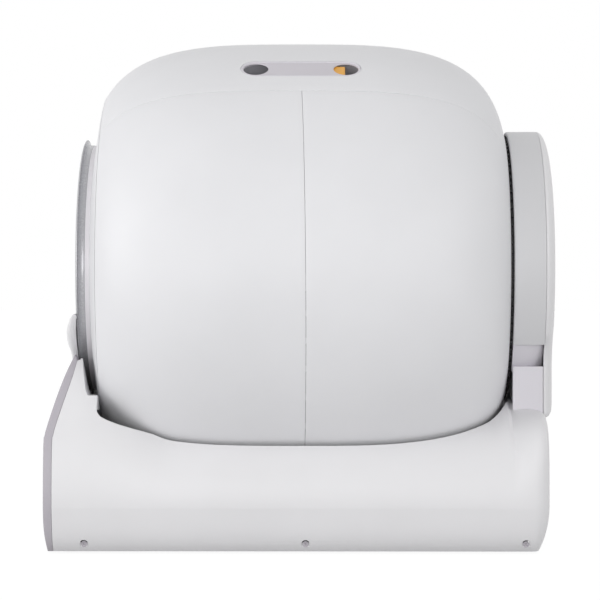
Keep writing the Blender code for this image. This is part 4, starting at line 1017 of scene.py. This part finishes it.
def tub_shoulder_at(x):
    """How far the tub's top is above its bulge, without the crest."""
    share = (tub_rise_start_x - x) / (tub_rise_start_x - tub_rise_end_x)
    share = min(1.0, max(0.0, share))
    return tub_shoulder + (tub_front_shoulder - tub_shoulder) * share * share * (3 - 2 * share)


def tub_crest_at(x):
    """How much higher the tub's top is beside the tower."""
    return float(np.interp(x, crest_places, crest_rises))


def tuck_in(share):
    """How far the wall is drawn in below the crease of its bulge."""
    return tuck_depth * math.sin(math.pi * min(1.0, max(0.0, share)))


def tub_section(x, inset=0.0, floor=tub_bottom, tuck=0.0, top_inset=None):
    """The tub's outline at one place along it."""
    half = base_width / 2 - inset
    rise = tub_shoulder_at(x) - (inset if top_inset is None else top_inset)
    crest = tub_crest_at(x)
    power = tub_power + float(np.interp(x, square_places, square_powers))
    low = tub_low_reach - inset / 2
    near = []
    for share in np.linspace(1.0, 0.06, 6 * fine):
        fall = (tub_bulge_height - floor) * share
        y = half * max(0.0, 1 - min(fall / low, 0.95) ** tub_low_power) ** (1 / tub_low_power)
        near.append((y - tuck_in(fall / (tub_bulge_height - tub_bottom)), tub_bulge_height - fall))
    count = 14 * fine
    for step in range(count):
        angle = math.radians(90 * step / count)
        y = half * math.cos(angle) ** (2 / power)
        up = math.sin(angle) ** (2 / power)
        near.append((y, tub_bulge_height + rise * up + crest * up**4))
    line = near + [(0, tub_bulge_height + rise + crest)] + [(-y, z) for y, z in reversed(near)]
    falls = [max(0.0, (tub_bulge_height - z) / tub_bulge_height) for _, z in line]
    return [(x - tuck * fall**2, y, z) for (y, z), fall in zip(line, falls)]


def tub_solid(name, front, back, inset=0.0, floor=tub_bottom, rounding=tub_round):
    """The tub as a full solid, or the room in it if there is an inset."""
    count = 16 * fine
    stations = [front + (tub_rise_start_x - front) * i / count for i in range(count + 1)]
    stations += [*tower_stations, back - rounding]
    rings = [tub_section(x, inset, floor) for x in stations]
    for turn in np.linspace(6, 90, 8 * fine)[:-1]:
        angle = math.radians(float(turn))
        x = back - rounding * (1 - math.sin(angle))
        shrink = inset + rounding * (1 - math.cos(angle))
        top = inset + 0.15 * rounding * (1 - math.cos(angle))
        rings.append(tub_section(x, shrink, floor, tub_tuck * math.sin(angle), top))
    return skin(name, rings, strips=True)


def fascia_line(offset):
    """The fascia's face from the side as (x, z) points, moved back by an offset."""
    x = front_x + offset
    lean = fascia_lean_x
    height = horn_height - fascia_upright_height
    foot = 0.003 if offset == 0 else 0
    return [
        (x + foot, tub_bottom),
        (x, tub_bottom + 0.3 * (fascia_upright_height - tub_bottom)),
        (x, fascia_upright_height),
        (x + 0.04 * lean, fascia_upright_height + 0.12 * height),
        (x + 0.16 * lean, fascia_upright_height + 0.26 * height),
        (x + 0.62 * lean, fascia_upright_height + 0.70 * height),
        (front_x + lean + 0.4 * offset, horn_height - 0.7 * offset),
    ]


def curved(line):
    """A smooth line through the points of a rough one, nowhere further forward than they are."""
    steps = 6
    front = min(x for x, _ in line)
    points = [Vector((*p, 0)) for p in line]
    points = [2 * points[0] - points[1]] + points + [2 * points[-1] - points[-2]]
    smooth_line = []
    for i in range(1, len(points) - 2):
        a, b, c, d = points[i - 1 : i + 3]
        for step in range(steps):
            t = step / steps
            spot = 0.5 * (
                2 * b + (c - a) * t + (2 * a - 5 * b + 4 * c - d) * t * t + (3 * b - a - 3 * c + d) * t**3
            )
            smooth_line.append((max(front, spot.x), spot.y))
    smooth_line.append((points[-2].x, points[-2].y))
    return smooth_line


fascia_back_x = front_x + fascia_thickness


def drum_room(name):
    """The room in which the drum, its ring and its gear turn."""
    room = turning_gap
    mouth_x = drum_middle_x - barrel_x(ring_room_radius, -room)
    end_x = drum_middle_x + barrel_x(flange_radius + 3 * room, -room)
    inner = ring_bore / 2
    return turned(
        name,
        [
            (tower_front_x - seat_gap, flange_radius + room),
            (tower_front_x - room, flange_radius + 2 * room),
            *barrel_line(end_x, mouth_x, -room, 48),
            (front_x - overrun, ring_room_radius),
            (front_x - overrun, inner),
            (tower_front_x - seat_gap, inner),
        ],
        160,
    )


def base_tub():
    """The tub, cut out for the drum, the drawer, the tower, the socket and the screws."""
    tub = tub_solid("base_tub", fascia_back_x + seat_gap, tub_back_x)
    line = fascia_line(fascia_thickness + seat_gap)
    rim = filleted(
        [
            (notch_front_x - 0.0028, horn_height - 0.0040),
            (notch_front_x, horn_height - 0.0037),
            (notch_front_x + 0.0060, notch_height + 0.0055),
            (notch_front_x + 0.0085, notch_height),
            (notch_back_x, notch_height),
            (notch_back_x, notch_height - 0.0160),
            (notch_back_x + 0.0036, notch_height - 0.0211),
            (notch_back_x + 0.0102, notch_height - 0.0246),
            (notch_back_x + 0.0222, notch_height - 0.0293),
            (notch_back_x + 0.0402, notch_height - 0.0349),
            (notch_back_x + 0.0612, notch_height - 0.0408),
            (notch_back_x + 0.0700, notch_height - 0.0350),
            (notch_back_x + 0.0800, horn_height + overrun),
            (tub_back_x + overrun, horn_height + overrun),
            (tub_back_x + overrun, tub_bottom - overrun),
        ],
        [0.0008, 0.002, 0.004, 0.002, 0.001, 0.004, 0.006, 0.03, 0.05, 0.05, 0, 0, 0, 0, 0],
        4,
    )
    line[0] = (line[0][0], tub_bottom - overrun)
    side_line = curved(line)
    inner = [(x + tub_wall, z) for x, z in line if z < horn_solid_height]
    inner += [
        (inner[-1][0], horn_solid_height),
        (notch_back_x, horn_solid_height),
        (notch_back_x, horn_height + overrun),
        (tub_back_x + overrun, horn_height + overrun),
        (tub_back_x + overrun, tub_bottom - overrun),
    ]
    inside = tub_solid(
        "tub_inside",
        fascia_back_x + seat_gap + fine_overrun,
        tub_back_x - tub_wall,
        tub_wall,
        tub_bottom - fine_overrun,
        tub_round - tub_wall,
    )
    carve(inside, slab("tub_inside_side", [inner], -half_out, half_out, "Y"), "INTERSECT", "MANIFOLD")
    carve(tub, slab("tub_side", [side_line + rim], -half_out, half_out, "Y"), "INTERSECT", "MANIFOLD")
    tools = [
        inside,
        drum_room("tub_drum_room"),
        block(
            "drawer_mouth",
            (front_x, -drawer_half_width - running_gap * 2, tub_bottom - overrun),
            (fascia_back_x + tub_wall + overrun, drawer_half_width + running_gap * 2, drawer_front_top),
        ),
        block(
            "tower_mouth",
            (tower_front_x - seat_gap, -neck_half_width - seat_gap, tub_bulge_height),
            (arch_back_x + seat_gap, neck_half_width + seat_gap, horn_height + overrun),
        ),
        block(
            "cover_seat",
            (arch_back_x, -neck_half_width - seat_gap, cover_bottom - seat_gap),
            (back_x + overrun, neck_half_width + seat_gap, horn_height + overrun),
        ),
        block(
            "socket_room",
            (socket_front_x, socket_low_y, socket_bottom),
            (tub_back_x + overrun, socket_high_y, socket_top),
        ),
    ]
    face = side_y_at(screw_height)
    for side in (-1, 1):
        for x in screw_places_x:
            start = (x, side * (face - screw_recess_depth), screw_height)
            end = (x, side * (face + overrun), screw_height)
            tools.append(rod("recess", start, end, screw_recess_radius, 40))
    for tool in tools:
        carve(tub, tool, "DIFFERENCE", "MANIFOLD")
    return tub


def side_y_at(height):
    """How far out the tub's side is at a height below its bulge."""
    fall = (tub_bulge_height - height) / tub_low_reach
    drawn = tuck_in((tub_bulge_height - height) / (tub_bulge_height - tub_bottom))
    return base_width / 2 * (1 - fall**tub_low_power) ** (1 / tub_low_power) - drawn


dressed(base_tub(), "base_tub", white_base)


def front_fascia():
    """The grey front, cut round the entry ring, the drawer and the controls."""
    outer, inner = curved(fascia_line(0)), curved(fascia_line(fascia_thickness))
    plate = slab("front_fascia", [outer + inner[::-1]], -half_out, half_out, "Y")
    start, end = front_x - overrun, fascia_back_x + fascia_lean_x + overrun
    ring = tub_section(front_x)
    carve(plate, skin("outline", [[(x, y, z) for _, y, z in ring] for x in (start, end)]), "INTERSECT")
    carve(plate, rod("ring_room", (start, 0, axis_height), (end, 0, axis_height), ring_room_radius, 192))
    wide = drawer_front_half_width + running_gap / 2
    mouth = rectangle(-wide, tub_bottom - overrun, wide, drawer_front_top + running_gap / 2)
    carve(plate, slab("drawer_mouth", [mouth], start, end, "X"))
    wide, tall = lens_half_width + seat_gap, lens_half_height + seat_gap
    seat = rectangle(-wide, control_height - tall, wide, control_height + tall)
    carve(plate, slab("lens_seat", [seat], start, front_x + lens_thickness, "X"))
    for y in (*button_places_y, sensor_place_y):
        ends = (start, y, control_height), (end, y, control_height)
        carve(plate, rod("hole", *ends, button_radius + seat_gap, 40))
    with editing(plate.data) as bm:
        join_flats(bm, 0.3)
    return softened_edges(plate, 0.0010, 3, 40)


dressed(front_fascia(), "front_fascia", lilac_trim)


def drawer_front():
    """The drawer's front, with rounded edges and a scooped finger pull."""
    wide = drawer_front_half_width
    outline = filleted(rectangle(-wide, drawer_low, wide, drawer_front_top), 0.004, 5)
    face = slab("drawer_front", [outline], front_x, fascia_back_x, "X", 0.0010, 3)
    pull = filleted(rectangle(-pull_half_length, pull_low, pull_half_length, pull_high), 0.0045, 6)
    carve(face, slab("pull", [pull], front_x - overrun, front_x + pull_depth, "X"))
    return softened_edges(face, 0.0008, 3, 50)


dressed(drawer_front(), "drawer_front", white_base)
softened_node("display_lens", smoked_lens, 0.0004)
softened_node("presence_sensor", smoked_lens, 0.0006)
for number in (1, 2, 3):
    softened_node(f"button_{number}", white_base, 0.0009, 3)


def entry_step():
    """The crescent lip across the foot of the entry, fullest below its two level ends."""
    back = bead_front_x - 0.0007
    outer = ring_room_radius - seat_gap
    end_height, full_height, reach, lap_reach = 0.2474, 0.030, 0.0105, 0.0025
    heights = (0.1900, 0.2047, 0.2099, 0.2151, 0.2203, 0.2286, 0.2359, 0.2411, 0.2442, 0.2463, end_height)
    depths = (0.62, 0.64, 0.76, 0.91, 0.99, 1.0, 0.84, 0.62, 0.43, 0.24, 0.08)
    last_angle = math.degrees(math.acos((axis_height - end_height) / (outer - 0.0012)))
    rings = []
    stations = 64 * fine
    for i in range(stations + 1):
        angle = 180 + last_angle * math.sin(math.radians(180 * i / stations - 90))
        room = outer - (axis_height - end_height) / math.cos(math.radians(angle - 180))
        height = min(full_height, room)
        ring = []
        for turn in np.linspace(0, 2 * math.pi, 32, endpoint=False):
            radius = outer - height / 2 + height / 2 * math.sin(turn)
            spot = around(angle, radius)
            depth = reach * float(np.interp(spot.z, heights, depths))
            along = math.cos(turn)
            side = math.copysign(abs(along) ** (1.0 if along > 0 else 0.45), along)
            x = back - depth / 2 - depth / 2 * side
            if side < 0:
                lap = min(1.0, max(0.0, (radius - ring_radius - 0.0002) / 0.0012))
                x += lap_reach * lap * min(1.0, height / 0.008)
            ring.append((x, spot.y, spot.z))
        rings.append(ring)
    return skin("entry_step", rings)


dressed(entry_step(), "entry_step", white_base, angle=60)


def side_screws():
    """The three screws on each side of the base, with crossed slots."""
    face = side_y_at(screw_height) - screw_recess_depth - seat_gap
    head_height, slot_floor = 0.0016, 0.0009
    slot_half_length, slot_half_width, slot_overrun = 0.0022, 0.0004, 0.004
    groups = []
    for side in (-1, 1):
        head = rod("screw", (0, side * head_height, 0), (0, side * seat_gap, 0), screw_radius, 40)
        for turn in (45, 135):
            low = (-slot_half_length, side * slot_floor, -slot_half_width)
            high = (slot_half_length, side * slot_floor + side * slot_overrun, slot_half_width)
            bar = block("slot", low, high)
            bar.data.transform(Matrix.Rotation(math.radians(turn), 4, "Y"))
            carve(head, bar)
        softened_edges(head, 0.00025, 2, 40)
        places = [(x, side * face, screw_height) for x in screw_places_x]
        groups.append(repeated("side_screws", head, places, [0.0] * len(places), lilac_trim))
    return coated(merged("side_screws", *groups), lilac_trim)


screws = side_screws()
screws.name = "side_screws_dressed"
smooth(screws)
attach(screws, "base")
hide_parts(*[f"side_screw_{word}_{i}" for word in ("near", "far") for i in (1, 2, 3)])


# The tower

arch_seam_x = 0.2534


def tower_outline(foot, inset=0.0):
    """(y, z) points of the rear cover: a round head on a neck, drawn in by an inset."""
    radius, neck = tower_radius - inset, neck_half_width - inset
    corner, rounding = axis_height - neck_top_drop, 0.006
    half = [tuple(around(turn, radius)[1:]) for turn in np.linspace(0, 120, 60)]
    last, bend, waist = half[-1], (-neck - 0.003, corner + 0.022), (-neck, corner)
    for t in np.linspace(0, 1, 12)[1:]:
        u = 1 - t
        half.append(tuple(float(u * u * a + 2 * u * t * b + t * t * c) for a, b, c in zip(last, bend, waist)))
    half.append((-neck, foot + rounding))
    for t in np.linspace(0, 90, 6)[1:]:
        a = math.radians(float(t))
        half.append((-neck + rounding * (1 - math.cos(a)), foot + rounding * (1 - math.sin(a))))
    return half + [(-y, z) for y, z in reversed(half[1:])]


def arch_cover():
    """The arched cover of the tower, which laps over the edge of the gear."""
    inner = tower_radius - arch_wall
    start, end = tower_front_x - 0.0028, arch_seam_x
    outline = filleted(
        [(end, tower_radius), (start, tower_radius), (start, inner), (end, inner)],
        [0.0004, 0.0036, 0.0004, 0.0004],
        5,
    )
    return turned("arch_cover", outline, around_steps, -arch_angle, arch_angle)


def back_cover():
    """The rounded rear cover of the tower."""
    start = arch_seam_x + 0.0002
    deep, wall, rim = back_x - start, 0.003, 0.0006
    shares = [math.sin(math.radians(t)) for t in np.linspace(0, 90, 20)]

    def rounded_by(share):
        """How far the cover is drawn in at a share of its depth."""
        return cover_round * (1 - math.sqrt(max(0.0, 1 - share**2.2)))

    rings = [
        [(start, *p) for p in tower_outline(cover_bottom + rim, rim)],
        [(start + rim, *p) for p in tower_outline(cover_bottom)],
    ]
    for share in shares[1:]:
        inset = rounded_by(share)
        x = max(start + rim, start + deep * share)
        rings.append([(x, *p) for p in tower_outline(cover_bottom + cover_foot_share * inset, inset)])
    rooms = []
    for share in shares[:-2]:
        inset = rounded_by(share)
        x = start - overrun if share == 0 else start + (deep - wall) * share
        foot = cover_bottom + wall + cover_foot_share * inset
        rooms.append([(x, *p) for p in tower_outline(foot, wall + inset)])
    return carve(skin("back_cover", rings), skin("back_cover_inside", rooms))


def board_posts():
    """The four posts on the rear cover that hold the main board."""
    posts = []
    for side in (-1, 1):
        for up in (-1, 1):
            y, z = side * post_reach_y, post_height + up * post_reach_z
            posts.append(rod("post", (post_front_x, y, z), (post_back_x, y, z), post_radius, 24))
    return posts


dressed(arch_cover(), "arch_cover", tower_grey)
dressed(merged("back_cover", back_cover(), *board_posts()), "back_cover", white_base)


def tower_shell():
    """The CAD shell reaching back to the cover's seam, with a hollowed ramp in each finger notch."""
    soft_edge, neck_reach, neck_side, neck_top = 0.0009, 0.0024, 0.100, 0.1925
    shell = softened_node("tower_shell", tower_panel, 0.0008, 3)
    for vertex in shell.data.vertices:
        x, y, z = vertex.co
        if x > arch_back_x - soft_edge:
            vertex.co.x += arch_seam_x - 0.0002 - arch_back_x
        elif x < tower_front_x + soft_edge and abs(y) > neck_side and z < neck_top:
            vertex.co.x -= neck_reach
    start, end = tower_front_x - 0.0022, arch_seam_x - 0.0003
    ramp_radius, ramp_drop, steps = 0.1458, 0.0082, 12
    shares = [step / steps for step in range(steps + 1)]
    ramp = [(start + (end - start) * share, ramp_radius - ramp_drop * share**2.6) for share in shares]
    profile = ramp + [(end, grip_radius - 0.001), (start, grip_radius - 0.001)]
    for first, last in ((220.5, 236.0), (124.0, 139.5)):
        fill = coated(turned("notch_ramp", profile, 20, first, last), tower_panel)
        with editing(shell.data) as bm:
            bm.from_mesh(fill.data)
        bpy.data.objects.remove(fill, do_unlink=True)
    return smooth(shell)


tower_shell()


# Floor, light and camera


def seen_directly(tree):
    """1 for a ray from the camera, a mirror or glass, and 0 for one that lights a surface."""
    path = wire(tree, "ShaderNodeLightPath").outputs
    seen = maths(tree, "ADD", path["Is Camera Ray"], path["Is Glossy Ray"])
    return maths(tree, "ADD", seen, path["Is Transmission Ray"], clamped=True)


def studio():
    """A pale floor and a white surround."""
    floor = block("floor", (-30, -12, -0.02), (30, 60, 0))
    look, tree, shader = new_look("pale_floor")
    shader.inputs["Base Color"].default_value = (0.60, 0.60, 0.60, 1)
    shader.inputs["Roughness"].default_value = 0.9
    shader.inputs["Specular IOR Level"].default_value = 0.0
    glow = wire(tree, "ShaderNodeEmission", [("Color", (1, 1, 1, 1)), ("Strength", 1.12)])
    share = maths(tree, "MULTIPLY", seen_directly(tree), 0.85)
    mix = wire(tree, "ShaderNodeMixShader", [("Fac", share), (1, shader.outputs[0]), (2, glow.outputs[0])])
    tree.links.new(mix.outputs[0], tree.nodes["Material Output"].inputs["Surface"])
    coated(floor, look)
    world = bpy.data.worlds.new("surround")
    world.use_nodes = True
    bpy.context.scene.world = world
    tree = world.node_tree
    sky = tree.nodes["Background"]
    sky.inputs["Color"].default_value = (1, 1, 1, 1)
    strength = remap(tree, seen_directly(tree), target=(0.59, 1.0))
    tree.links.new(strength, sky.inputs["Strength"])


def softbox(name, place, size, power):
    """A square lamp that faces the middle of the object."""
    light = bpy.data.lights.new(name, "AREA")
    light.shape = "RECTANGLE"
    light.size = light.size_y = size
    light.energy = power
    made = linked(name, light)
    made.location = place
    made.rotation_euler = (Vector((0, 0, 0.28)) - Vector(place)).to_track_quat("-Z", "Y").to_euler()


studio()
softbox("left_softbox", (-2.4, -1.0, 0.5), 1.8, 29)
softbox("front_softbox", (-0.5, -2.9, 0.35), 1.4, 20)
softbox("right_softbox", (1.7, -2.0, 0.6), 1.8, 14)

camera_distance, camera_height, aim_x = 2.7902, 0.26188, -0.00331
yaw, roll = math.radians(0.4), math.radians(0.012)
picture_width, picture_scale, film_width = 600, 2547.8, 36.0
camera = linked("camera", bpy.data.cameras.new("camera"))
camera.data.sensor_width = film_width
camera.data.lens = film_width * picture_scale / picture_width
camera.data.clip_end = 200
camera.location = (
    aim_x + camera_distance * math.sin(yaw),
    -camera_distance * math.cos(yaw),
    camera_height,
)
level = Matrix.Rotation(yaw, 3, "Z") @ Matrix.Rotation(math.radians(90), 3, "X")
camera.rotation_euler = (level @ Matrix.Rotation(roll, 3, "Z")).to_euler()
bpy.context.scene.camera = camera
bpy.context.scene.view_settings.view_transform = "Standard"
